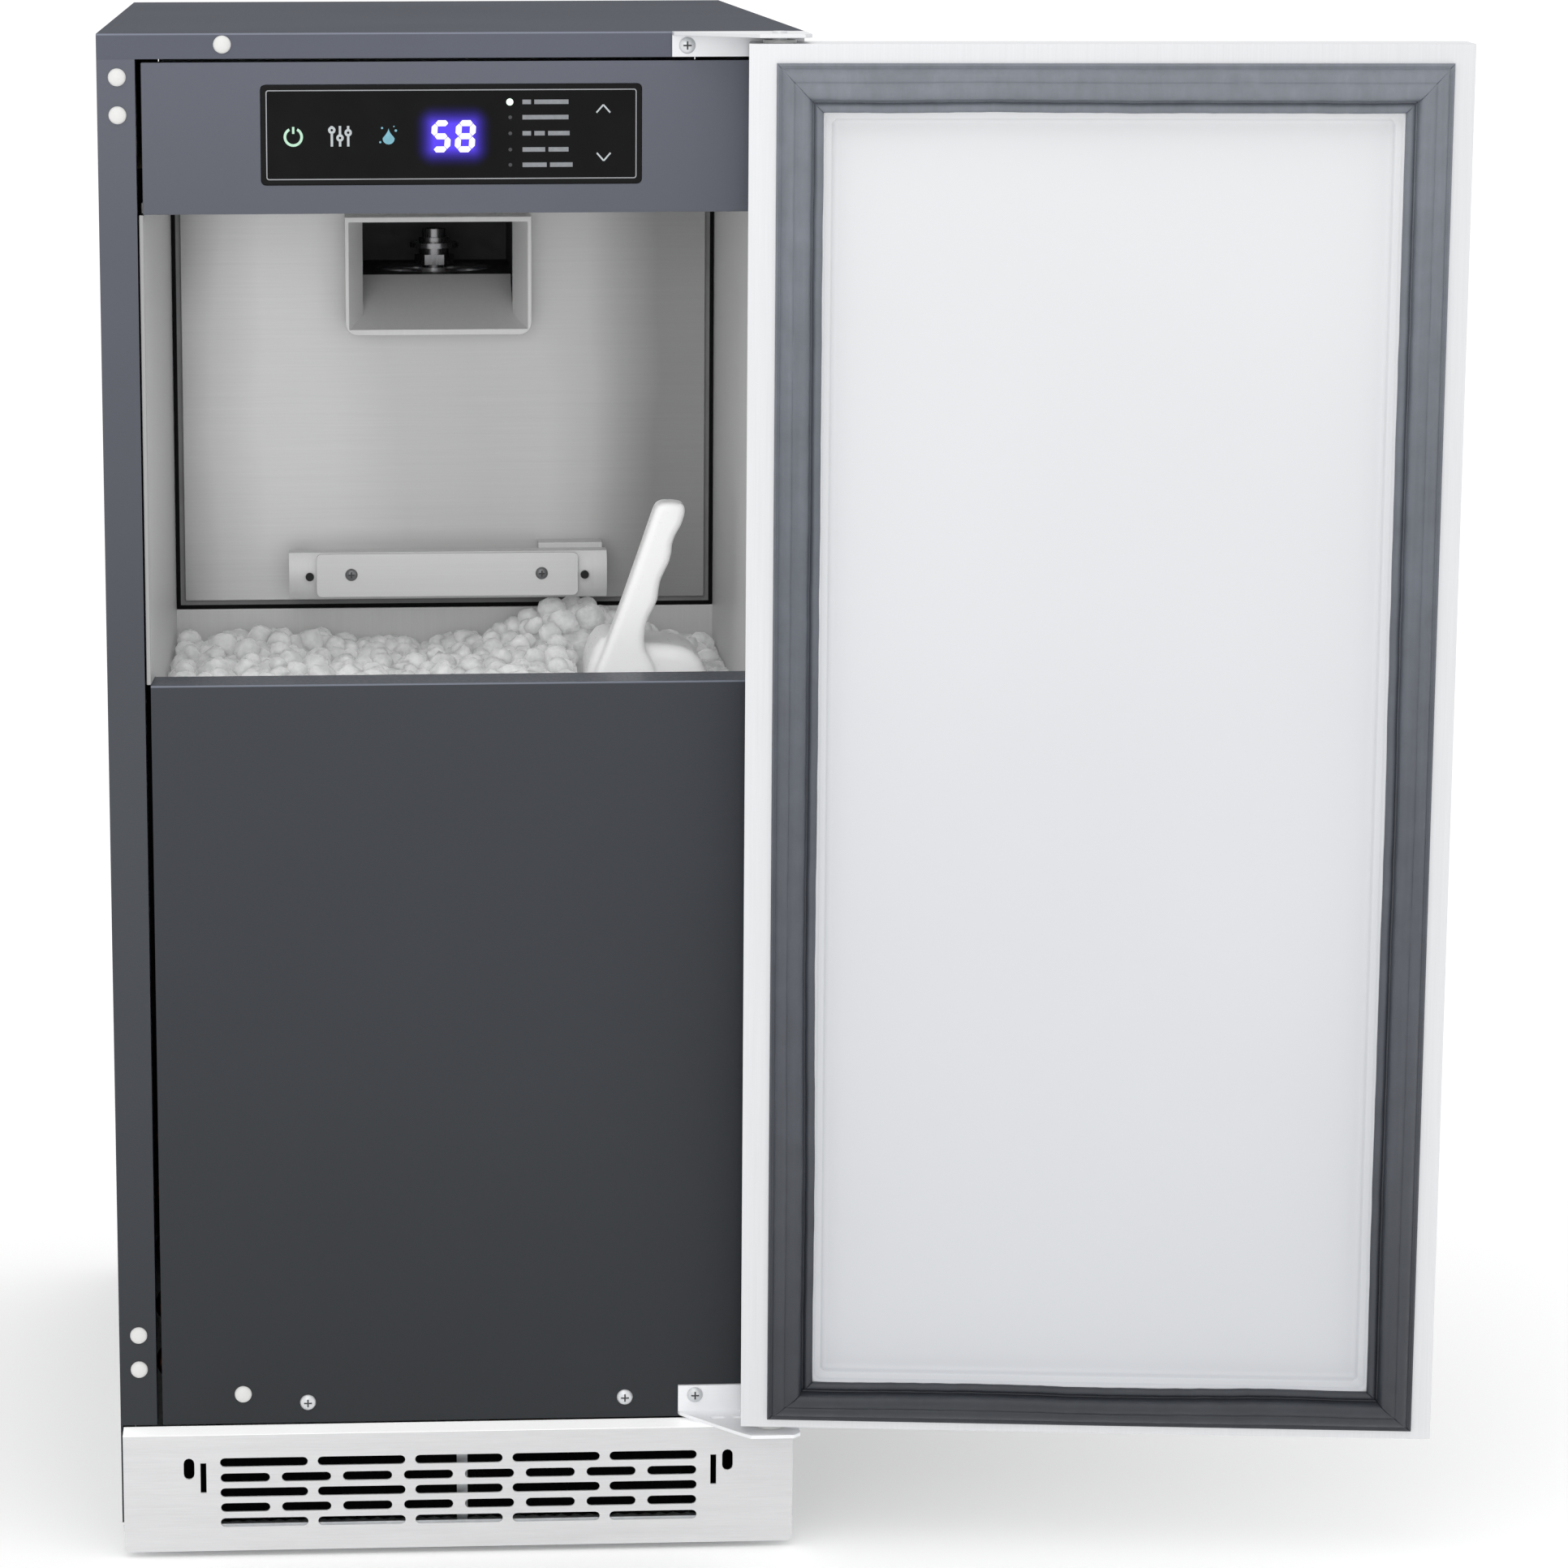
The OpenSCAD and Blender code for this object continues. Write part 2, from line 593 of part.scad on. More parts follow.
// Cross-recessed pan head at [x, z] on depth d, with its shank behind
module pan_screw(p, d, r = 4.5) {
    difference() {
        dome(p, r, 2.2, d);
        translate([p[0], fy(d - 1.6), p[1]]) {
            cube([r, 2.4, 0.9], center = true);
            cube([0.9, 2.4, r], center = true);
        }
    }
    bar_y(p[0], p[1], 2, d, d + 4.6);
}
module pan_head_screws() {
    color(bright) {
        for (p = panel_screws) pan_screw(p, 0);
        pan_screw(top_hinge_screw, -2);
        pan_screw(lower_hinge_screw, -2);
        for (x = [-55, 55]) pan_screw([x, 534.3], 139.2, 3.6);
    }
}
// Angle bracket: an upright flange on the front and a plate that carries a pin
module hinge_angle(x0, z_flange0, z_flange1, z_plate, screw) {
    reach = 45;
    difference() {
        union() {
            box(x0, half_w, -2, 0, z_flange0, z_flange1);
            plate_z([[x0, -2], [x0 + 1, -4], [pivot_x - 20, -reach + 8], [pivot_x - 12, -reach],
                [half_w - 4, -reach], [half_w, -reach + 4], [half_w, 0], [x0, 0]],
                z_plate, z_plate + 2);
        }
        bar_y(screw[0], screw[1], screw_hole_r, -4, 2);
        bar_z(pivot_x, pivot_d, pin_r, z_plate - 1, z_plate + 3);
        if (z_plate < 100) for (x = [146, 158]) plate_z(obround([x, -14], 8, 3), 70, 80);
    }
}
module top_hinge_bracket() {
    color(bright) hinge_angle(118.7, cover_z + 0.1, body_h, body_h - 2, top_hinge_screw);
}
module lower_hinge_bracket() {
    color(bright) hinge_angle(124.6, 74, 90.9, 74, lower_hinge_screw);
}
module hinge_pins() {
    color(bright) {
        bar_z(pivot_x, pivot_d, pin_r, 836, body_h + 1);
        bar_z(pivot_x, pivot_d, pin_r, 72, 90);
        bar_z(pivot_x, pivot_d, 6.5, 71, 73.9);
    }
}

// ---------------------------------------------------------------- refrigeration

module compressor() {
    dome_end = arc([25, 172], 43, 0, 90, 5);
    shell = concat([[0, 50], [40, 50]], arc([40, 78], 28, -90, 0, 5), dome_end, [[0, 215]]);
    color(black) {
        translate([comp_x, fy(comp_d), 0]) rotate_extrude($fn = 64) polygon(shell);
        difference() {
            box(comp_x - 76, comp_x + 76, comp_d - 56, comp_d + 56, 46, 50);
            for (x = [-62, 62], d = [-44, 44]) bar_z(comp_x + x, comp_d + d, 4.2, 40, 60);
        }
    }
}
module compressor_mounts() {
    color(black) for (x = [-62, 62], d = [-44, 44]) {
        bar_z(comp_x + x, comp_d + d, 12, pan_z + sheet_t, 46);
        bar_z(comp_x + x, comp_d + d, 4, 46, 54);
    }
}
module condenser_core() {
    fins = 36;
    pitch = 180 / fins;
    comb = concat([[-160, 60]], [for (i = [0 : fins - 2]) each
        [[-160 + pitch * i + 1.4, 60], [-160 + pitch * i + 1.4, 74],
         [-160 + pitch * (i + 1), 74], [-160 + pitch * (i + 1), 60]]],
        [[20, 60], [20, 100], [-160, 100]]);
    color(steel) {
        plate_z(comb, 40, 240);
        for (x = [-150, 8]) box(x, x + 12, 62, 98, pan_z + sheet_t, 40);
    }
}
module fan_shroud() {
    color(black) difference() {
        union() {
            box(-160, 20, 100.2, 102.4, 40, 240);
            bar_y(fan_x, fan_z, 81, 102, 126);
        }
        bar_y(fan_x, fan_z, 78, 99, 130);
    }
}
module fan_motor() {
    color([0.2, 0.2, 0.22]) difference() {
        union() {
            bar_y(fan_x, fan_z, 28, 134, 180);
            box(fan_x - 87, fan_x + 87, 140, 143, fan_z - 6, fan_z + 6);
            for (s = [-1, 1]) box(fan_x + 85.5 * s - 1.5, fan_x + 85.5 * s + 1.5, 102.6, 143,
                fan_z - 6, fan_z + 6);
        }
        bar_y(fan_x, fan_z, 4.05, 130, 165);
    }
}
module fan_blade() {
    color([0.75, 0.75, 0.77]) {
        difference() {
            bar_y(fan_x, fan_z, 20, 108, 130);
            bar_y(fan_x, fan_z, 17, 107, 112);
        }
        bar_y(fan_x, fan_z, 4, 129, 160);
        for (i = [0 : fan_blades - 1])
            translate([fan_x, fy(119), fan_z]) rotate([0, 360 * i / fan_blades, 0])
                rotate([28, 0, 0]) rotate([90, 0, 0]) linear_extrude(height = 1.8, center = true)
                    polygon(concat([[18.5, -8]], arc([44, 0], fan_r - 46, -48, 48, 6), [[18.5, 8]]));
    }
}
// Half-round bend of a condenser tube, standing out to the right or to the left
module return_bend(side) {
    rotate([0, 90, side]) rotate_extrude(angle = 180) translate([9, 0]) circle(r = 3.5, $fn = 16);
}
// Copper coil round the evaporator, drier, and the lines to and from the compressor
module refrigerant_tubes() {
    color(copper) {
        for (i = [0 : 13]) translate([auger_x, fy(auger_d), 580 + 8 * i])
            rotate_extrude() translate([39.5, 0]) circle(r = 3, $fn = 16);
        tube([[80, 400, 215.2], [80, 400, 262], [80, 80, 262], [80, 80, 225], [20.3, 80, 225]], 4, 20);
        tube([[20.3, 80, 46], [60, 80, 46], [60, 200, 60], [60, 230, 60]], 3.5, 15);
        bar_y(60, 60, 9, 230, 305);
        tube([[66, 305, 60], [70, 320, 60], [74, 320, 120], [74, 300, 560], [74, 250, 580],
            [auger_x + 43, 250, 580]], 2.2, 8);
        tube([[auger_x + 43.2, 250, 684], [100, 250, 684], [112, 400, 640], [112, 400, 215.2]], 4.5, 25);
        for (i = [0 : 4]) {
            translate([20, fy(80), 66 + 34 * i]) return_bend(-90);
            translate([-160, fy(80), 83 + 34 * i]) return_bend(90);
        }
    }
}

// ---------------------------------------------------------------- ice making

module evaporator_barrel() {
    color(steel) difference() {
        union() {
            bar_z(auger_x, auger_d, barrel_r, barrel_z0, barrel_z1);
            bar_z(auger_x, auger_d, 44, 548.1, barrel_z0);
        }
        bar_z(auger_x, auger_d, barrel_bore, barrel_z0, 688);
        bar_z(auger_x, auger_d, journal_r + 0.6, 540, 560);
        bar_z(auger_x, auger_d, 10, 680, 710);
        for (i = [0 : 5]) rotate_about_auger(60 * i) bar_z(auger_x + 20.5, auger_d, 7, 680, 710);
    }
}
module rotate_about_auger(a) {
    translate([auger_x, fy(auger_d), 0]) rotate([0, 0, a])
        translate([-auger_x, -fy(auger_d), 0]) children();
}
module evaporator_jacket() {
    color(foam) difference() {
        bar_z(auger_x, auger_d, 60, 574, 698);
        bar_z(auger_x, auger_d, 42.9, 570, 702);
        box(auger_x + 38, auger_x + 70, auger_d - 6, auger_d + 6, 570, 590);
        box(auger_x + 38, auger_x + 70, auger_d - 7, auger_d + 7, 676, 702);
    }
}
module bush(z0, z1) {
    difference() {
        bar_z(auger_x, auger_d, 10, z0, z1);
        bar_z(auger_x, auger_d, journal_r + 0.05, z0 - 1, z1 + 1);
    }
}
module auger_bushes() {
    color([0.75, 0.6, 0.3]) {
        bush(490, 496);
        bush(542, 548);
        bush(689, 699);
    }
}
module gearbox_housing() {
    color([0.55, 0.56, 0.58]) difference() {
        union() {
            plate_z(rounded(-50, 43, 206, 330, 8, 4), 490, 548);
            box(-64, 57, 203.2, 206, 430, 548);
        }
        plate_z(rounded(-46, 39, 210, 326, 5, 4), 494, 544);
        bar_z(auger_x, auger_d, 10, 480, 560);
        bar_z(auger_x, pinion_d, 6, 480, 500);
    }
}
module gear_motor() {
    color([0.25, 0.26, 0.28]) difference() {
        bar_z(auger_x, pinion_d, 40, 400, 489.8);
        bar_z(auger_x, pinion_d, 25.5, 406, 482);
        bar_z(auger_x, pinion_d, 5.05, 401, 495);
    }
}
module auger() {
    flight_z0 = 562;
    flight_h = 124;
    color(bright) {
        bar_z(auger_x, auger_d, journal_r, 490.5, flight_z0);
        translate([auger_x, fy(auger_d), flight_z0])
            linear_extrude(height = flight_h, twist = -360 * 3, slices = 60)
                polygon(concat(arc([0, 0], 11, 14, 346, 10), [[flight_r, -1.6], [flight_r, 1.6]]));
        bar_z(auger_x, auger_d, journal_r, flight_z0 + flight_h, 702);
    }
}
module drive_gear() {
    color([0.85, 0.82, 0.7]) difference() {
        translate([auger_x, fy(auger_d), gear_z]) rotate([0, 0, 90]) linear_extrude(height = 12)
            polygon(gear_outline(gear_teeth, gear_module));
        bar_z(auger_x, auger_d, journal_r, gear_z - 1, gear_z + 13);
    }
}
// Stirrer on top of the auger that breaks the ice rod into nuggets
module agitator_spindle() {
    color(bright) {
        bar_z(auger_x, auger_d, 7, 702, 725);
        translate([auger_x, fy(auger_d), 704]) cylinder(r = 11.5, h = 6, $fn = 6);
        bar_z(auger_x, auger_d, 9, 710, 714);
        bar_z(auger_x, auger_d, 14.5, 714, 717);
        bar_z(auger_x, auger_d, 9, 717, 720);
    }
}
module motor_rotor() {
    color([0.6, 0.6, 0.62]) {
        bar_z(auger_x, pinion_d, 5, 402, 500);
        bar_z(auger_x, pinion_d, 24, 412, 476);
        translate([auger_x, fy(pinion_d), 500]) rotate([0, 0, 270 + 180 / pinion_teeth])
            linear_extrude(height = 16) polygon(gear_outline(pinion_teeth, gear_module));
    }
}

// ---------------------------------------------------------------- water

module water_reservoir() {
    color([0.85, 0.88, 0.9]) {
        difference() {
            union() {
                box(-180, -100, 230, 330, 570, 680);
                box(-inner_half, -180, 250, 310, 600, 640);
            }
            box(-177.5, -102.5, 232.5, 327.5, 572.5, 681);
            bar_y(-130, 660, 4.3, 320, 340);
            bar_x(250, 585, 4.3, -110, -90);
        }
        bar_z(-140, 280, 4, 572.5, 676);
    }
}
module float() {
    color([0.9, 0.5, 0.2]) difference() {
        bar_z(-140, 280, 18, 625, 645);
        bar_z(-140, 280, 4.3, 620, 650);
    }
}
module inlet_valve() {
    color([0.9, 0.9, 0.9]) {
        box(drain_x - 22, drain_x + 22, 490, back_d - 0.2, 602, 638);
        bar_y(drain_x, 620, 13.2, back_d - 0.2, 546);
        bar_z(drain_x, 508, 14, 638, 668);
        bar_y(drain_x - 10, 620, 4, 478, 490);
    }
}
module water_tubes() {
    color([0.8, 0.85, 0.9]) {
        tube([[-130, 478, 620], [-130, 440, 620], [-130, 400, 660], [-130, 328, 660]], 4, 18);
        tube([[-102.4, 250, 585], [-70, 250, 585], [-66, 250, 565], [auger_x - 36.5, 250, 565]], 4, 8);
        tube([[drain_x, drain_d, bin_floor_z - 1], [drain_x, drain_d, 272], [drain_x, 430, 250],
            [drain_x, 430, 84.2]], 7, 25);
        tube([[drain_x, 466.2, 50], [drain_x, 480, 50], [drain_x, 485, 70], [drain_x, 499.8, 70]], 5, 5);
    }
}
module drain_pump() {
    color([0.3, 0.31, 0.33]) {
        bar_z(drain_x, 430, 30, pan_z + sheet_t, 72);
        bar_z(drain_x, 430, 12, 72, 84);
        bar_y(drain_x, 50, 7, 456, 466);
    }
}
module drain_fitting() {
    color([0.9, 0.9, 0.9]) {
        bar_y(drain_x, 70, 7, 500, 526);
        bar_y(drain_x, 70, 16, 525, back_d - 0.2);
        bar_y(drain_x, 70, 8, 528, 555);
    }
}

// ---------------------------------------------------------------- feet

module levelling_foot(x, d) {
    color([0.3, 0.3, 0.32]) {
        bar_z(x, d, 17, 0, 5);
        translate([x, fy(d), 5]) cylinder(r = 11, h = 9.8, $fn = 6);
        bar_z(x, d, foot_stem_r, 14.8, 44);
    }
}
module foot_front_left() {
    levelling_foot(-foot_x, foot_depths[0]);
}
module foot_front_right() {
    levelling_foot(foot_x, foot_depths[0]);
}
module foot_rear_left() {
    levelling_foot(-foot_x, foot_depths[1]);
}
module foot_rear_right() {
    levelling_foot(foot_x, foot_depths[1]);
}

// ---------------------------------------------------------------- door, drawn closed

// Opening in the skin's inner face, filled by the inner panel
opening_x0 = seal_free_x + 11;
opening_x1 = seal_hinge_x - 11;
opening_z0 = seal_z0 + 11;
opening_z1 = seal_z1 - 11;
dish_depth = 10;
module pin_holes(r) {
    bar_z(pivot_x, pivot_d, r, door_z0 - 1, door_z0 + 12);
    bar_z(pivot_x, pivot_d, r, door_z1 - 12, door_z1 + 1);
}
module door_skin() {
    t = sheet_t;
    color(bright) door_pose() difference() {
        box(-half_w, half_w, door_front, -door_gap, door_z0, door_z1);
        box(-half_w + t, half_w - t, door_front + t, -door_gap - t, door_z0 + t, door_z1 - t);
        box(opening_x0, opening_x1, -door_gap - 2 * t, 0, opening_z0, opening_z1);
        pin_holes(6.5);
    }
}
// Vacuum-formed panel: a rim in the skin's opening and a dish behind the seal
dish_x0 = seal_free_x + seal_w + 1;
dish_x1 = seal_hinge_x - seal_w - 1;
dish_z0 = seal_z0 + 23;
dish_z1 = seal_z1 - 26;
dish_back = -door_gap - dish_depth;
module door_inner_panel() {
    color(white) door_pose() difference() {
        union() {
            box(opening_x0 + 0.1, opening_x1 - 0.1, -door_gap - 2, -door_gap, opening_z0 + 0.1,
                opening_z1 - 0.1);
            box(dish_x0 - 2, dish_x1 + 2, dish_back - 2, -door_gap - 1, dish_z0 - 2, dish_z1 + 2);
        }
        box(dish_x0, dish_x1, dish_back, 0, dish_z0, dish_z1);
    }
}
module door_core() {
    g = sheet_t + 0.1;
    color(foam) door_pose() difference() {
        box(-half_w + g, half_w - g, door_front + g, -door_gap - 2.1, door_z0 + g, door_z1 - g);
        box(dish_x0 - 2.1, dish_x1 + 2.1, dish_back - 2.1, 0, dish_z0 - 2.1, dish_z1 + 2.1);
        pin_holes(6.6);
    }
}
// Magnetic seal: a lip outside, a bulge in the middle and a lip inside
module door_gasket() {
    lip = 4;
    bulge = door_gap - 0.3;
    color(gasket_grey) door_pose() {
        difference() {
            union() {
                box(seal_free_x, seal_hinge_x, -door_gap, -door_gap + lip, seal_z0, seal_z1);
                box(seal_free_x + 10, seal_hinge_x - 10, -door_gap, -door_gap + bulge, seal_z0 + 10,
                    seal_z1 - 10);
            }
            box(seal_free_x + 20, seal_hinge_x - 20, -door_gap + lip, 5, seal_z0 + 18, seal_z1 - 21);
            box(seal_free_x + seal_w, seal_hinge_x - seal_w, -door_gap - 1, 5, seal_z0 + 22,
                seal_z1 - 26);
        }
    }
}
module door_handle() {
    bar_d = door_front - 38;
    color(bright) door_pose() {
        bar_z(-162, bar_d, 7, 560, 800);
        for (z = [590, 770]) bar_y(-162, z, 5, bar_d + 3, door_front);
    }
}
module door_bushes() {
    color(white) door_pose() difference() {
        union() {
            bar_z(pivot_x, pivot_d, 6.4, door_z0, door_z0 + 11);
            bar_z(pivot_x, pivot_d, 9, 76.2, door_z0);
            bar_z(pivot_x, pivot_d, 6.4, door_z1 - 11, door_z1);
            bar_z(pivot_x, pivot_d, 9, door_z1, door_z1 + 1.5);
        }
        bar_z(pivot_x, pivot_d, pin_r + 0.05, 70, 860);
    }
}

left_side_panel();
right_side_panel();
top_cover();
back_panel();
base_pan();
kick_plate();
control_fascia();
lower_front_panel();
bin_liner();
bin_insulation();
machine_cover_panel();
panel_seal();
ice_chute();
chute_duct();
sensor_bar_housing();
sensor_bar_cover();
sensor_eyes();
display_bezel();
display_glass();
circuit_boards();
hole_plugs();
pan_head_screws();
top_hinge_bracket();
lower_hinge_bracket();
hinge_pins();
compressor();
compressor_mounts();
condenser_core();
fan_shroud();
fan_motor();
evaporator_barrel();
evaporator_jacket();
auger_bushes();
gearbox_housing();
gear_motor();
water_reservoir();
inlet_valve();
water_tubes();
drain_pump();
drain_fitting();
refrigerant_tubes();
power_inlet();
ice_heap();
scoop();
fan_blade();
auger();
drive_gear();
agitator_spindle();
motor_rotor();
float();
foot_front_left();
foot_front_right();
foot_rear_left();
foot_rear_right();
door_skin();
door_inner_panel();
door_core();
door_gasket();
door_handle();
door_bushes();
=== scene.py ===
"""Looks of an undercounter nugget ice maker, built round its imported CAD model.

Everything is in metres, in the CAD frame. MM turns the millimetres used below into metres,
and depths are measured back from the cabinet's front plane, as in the CAD source.
"""

import json
import math
import random

import bmesh
import bpy
from mathutils import Matrix, Vector, noise


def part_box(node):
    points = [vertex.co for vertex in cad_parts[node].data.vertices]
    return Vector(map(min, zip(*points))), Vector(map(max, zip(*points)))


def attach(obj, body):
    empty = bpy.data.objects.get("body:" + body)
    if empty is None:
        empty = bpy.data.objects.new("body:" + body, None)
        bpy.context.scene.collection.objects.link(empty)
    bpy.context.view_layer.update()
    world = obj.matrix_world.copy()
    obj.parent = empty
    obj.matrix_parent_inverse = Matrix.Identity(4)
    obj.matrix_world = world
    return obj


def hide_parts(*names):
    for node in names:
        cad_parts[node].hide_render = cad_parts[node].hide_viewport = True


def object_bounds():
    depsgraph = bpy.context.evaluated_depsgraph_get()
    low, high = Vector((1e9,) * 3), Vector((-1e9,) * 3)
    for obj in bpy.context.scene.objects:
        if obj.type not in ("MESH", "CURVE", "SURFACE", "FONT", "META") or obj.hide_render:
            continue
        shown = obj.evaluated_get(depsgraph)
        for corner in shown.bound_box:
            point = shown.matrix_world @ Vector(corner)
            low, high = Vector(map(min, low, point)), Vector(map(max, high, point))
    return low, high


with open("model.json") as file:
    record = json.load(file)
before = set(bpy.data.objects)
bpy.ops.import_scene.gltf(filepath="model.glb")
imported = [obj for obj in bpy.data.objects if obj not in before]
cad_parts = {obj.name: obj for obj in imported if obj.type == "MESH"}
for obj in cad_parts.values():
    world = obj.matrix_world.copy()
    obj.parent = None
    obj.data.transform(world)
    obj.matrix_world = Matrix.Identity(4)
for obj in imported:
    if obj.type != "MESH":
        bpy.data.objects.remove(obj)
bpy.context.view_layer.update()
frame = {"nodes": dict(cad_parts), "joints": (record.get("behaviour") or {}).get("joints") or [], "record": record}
scene = bpy.context.scene
scene.view_settings.view_transform = "Standard"

MM = 0.001
FRONT_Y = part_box("control_fascia")[0].y
SLOT_OF = {s["node"]: s["material_slot"] for s in frame["record"]["subparts"]}
HINGE = next(j for j in frame["joints"] if j["name"] == "door_hinge")
LEDGE_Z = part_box("lower_front_panel")[1].z
COVER_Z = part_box("top_cover")[1].z
KICK_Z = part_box("kick_plate")[1].z
WHITE = (1.0, 1.0, 1.0, 1.0)


def srgb(r, g, b):
    """Linear colour of an sRGB colour given from 0 to 255."""
    return tuple(
        c / 12.92 if c <= 0.04045 else ((c + 0.055) / 1.055) ** 2.4
        for c in (r / 255, g / 255, b / 255)
    ) + (1.0,)


# ---------------------------------------------------------------- materials


class Look:
    """A procedural material: a Principled shader with textures in the object's own space."""

    def __init__(self, name, **values):
        self.material = bpy.data.materials.new(name)
        self.material.use_nodes = True
        self.tree = self.material.node_tree
        self.shader = self.tree.nodes["Principled BSDF"]
        self.coords = self.tree.nodes.new("ShaderNodeTexCoord").outputs["Object"]
        for key, value in values.items():
            self.shader.inputs[key.replace("_", " ")].default_value = value

    def node(self, kind, inputs=(), **settings):
        """New node, with its inputs given as sockets or as values."""
        made = self.tree.nodes.new(kind)
        for key, value in settings.items():
            setattr(made, key, value)
        for key, value in dict(inputs).items():
            self.feed(made.inputs[key], value)
        return made

    def feed(self, socket, value):
        if isinstance(value, bpy.types.NodeSocket):
            self.tree.links.new(value, socket)
        else:
            socket.default_value = value

    def stretched(self, x, y, z):
        """Coordinates with a scale of their own along each axis."""
        scale = {"Vector": self.coords, "Scale": (x, y, z)}
        return self.node("ShaderNodeMapping", scale).outputs["Vector"]

    def noise(self, scale, detail=2.0, roughness=0.5, vector=None):
        inputs = {"Vector": vector or self.coords, "Scale": scale}
        inputs |= {"Detail": detail, "Roughness": roughness}
        return self.node("ShaderNodeTexNoise", inputs).outputs["Fac"]

    def axis(self, index):
        parts = self.node("ShaderNodeSeparateXYZ", {"Vector": self.coords})
        return parts.outputs[index]

    def maths(self, operation, a, b=0.0):
        return self.node("ShaderNodeMath", {0: a, 1: b}, operation=operation).outputs[0]

    def vector_maths(self, operation, a, b=(0.0, 0.0, 0.0)):
        return self.node("ShaderNodeVectorMath", {0: a, 1: b}, operation=operation)

    def spread(self, value, low, high, to_low=0.0, to_high=1.0):
        """Value carried from low..high to to_low..to_high, and held at the ends."""
        inputs = {"Value": value, "From Min": low, "From Max": high}
        inputs |= {"To Min": to_low, "To Max": to_high}
        return self.node("ShaderNodeMapRange", inputs).outputs["Result"]

    def vary(self, value, low, high):
        """Noise, which lies mostly between 0.3 and 0.7, taken from low to high."""
        return self.spread(value, 0.3, 0.7, low, high)

    def mixed(self, a, b, share):
        """A share of value a and the rest of value b."""
        rest = self.maths("MULTIPLY", b, 1 - share)
        return self.maths("ADD", self.maths("MULTIPLY", a, share), rest)

    def ramp(self, value, stops):
        """Colour at value, from stops given as (place, linear colour)."""
        made = self.node("ShaderNodeValToRGB", {"Fac": value})
        elements = made.color_ramp.elements
        while len(elements) < len(stops):
            elements.new(0.5)
        for element, (place, colour) in zip(elements, stops):
            element.position = place
            element.color = colour
        return made.outputs["Color"]

    def shaded(self, colour, amount):
        """Colour multiplied by a grey amount."""
        made = self.node("ShaderNodeMix", data_type="RGBA", blend_type="MULTIPLY")
        made.inputs[0].default_value = 1.0
        self.feed(made.inputs[6], colour)
        self.feed(made.inputs[7], amount)
        return made.outputs[2]

    def blended(self, factor, a, b):
        made = self.node("ShaderNodeMix", data_type="RGBA")
        self.feed(made.inputs[0], factor)
        self.feed(made.inputs[6], a)
        self.feed(made.inputs[7], b)
        return made.outputs[2]

    def bump(self, height, strength, distance):
        inputs = {"Height": height, "Strength": strength, "Distance": distance}
        made = self.node("ShaderNodeBump", inputs)
        self.tree.links.new(made.outputs["Normal"], self.shader.inputs["Normal"])

    def colour(self, value):
        self.feed(self.shader.inputs["Base Color"], value)

    def rough(self, value):
        self.feed(self.shader.inputs["Roughness"], value)

    def window_finish(self):
        """Tone and smear of the display window."""
        tones = [(0.3, srgb(11, 11, 12)), (0.7, srgb(15, 15, 16))]
        self.colour(self.ramp(self.noise(30.0, 3.0), tones))
        self.rough(self.vary(self.noise(60.0, 4.0), 0.1, 0.2))

    def glow(self, value, strength):
        self.feed(self.shader.inputs["Emission Color"], value)
        self.shader.inputs["Emission Strength"].default_value = strength


def painted(name, top, middle, foot, gloss=0.42, shelf=None, sheen=0.25):
    """Powder-coated sheet: fine orange peel, and painted shade that deepens its tone towards the
    floor. A shelf is (height of its flat top, factor of painted light on that top, below 1 for
    painted shade, factor of the painted highlight on its front edge)."""
    look = Look(name, Metallic=0.0, Specular_IOR_Level=sheen)
    z = look.axis(2)
    # painted shade: the tone deepens from the top towards the floor
    height = look.spread(z, 0.05, 0.84)
    tone = look.ramp(height, [(0.0, foot), (0.55, middle), (1.0, top)])
    patches_and_light = look.vary(look.noise(6.0, 3.0), 0.96, 1.04)
    if shelf:
        # painted light on a shelf's flat top (painted shade where its factor is below 1) and a painted highlight
        # on its front edge
        level, flat, edge_highlight = shelf
        upper = look.spread(z, level - 0.3 * MM, level - 0.05 * MM, 1.0, flat)
        near_front = look.spread(look.axis(1), FRONT_Y + 0.7 * MM, FRONT_Y + 1.0 * MM, 1.0, 0.0)
        near_top = look.spread(z, level - 1.1 * MM, level - 0.8 * MM)
        edge = look.spread(look.maths("MULTIPLY", near_front, near_top), 0.0, 1.0, 0.0, edge_highlight)
        patches_and_light = look.maths("MULTIPLY", patches_and_light, look.maths("MAXIMUM", upper, edge))
    look.colour(look.shaded(tone, patches_and_light))
    look.rough(look.vary(look.noise(420.0, 2.0), gloss - 0.05, gloss + 0.06))
    look.bump(look.noise(900.0, 3.0), 0.12, 0.0003)
    return look.material


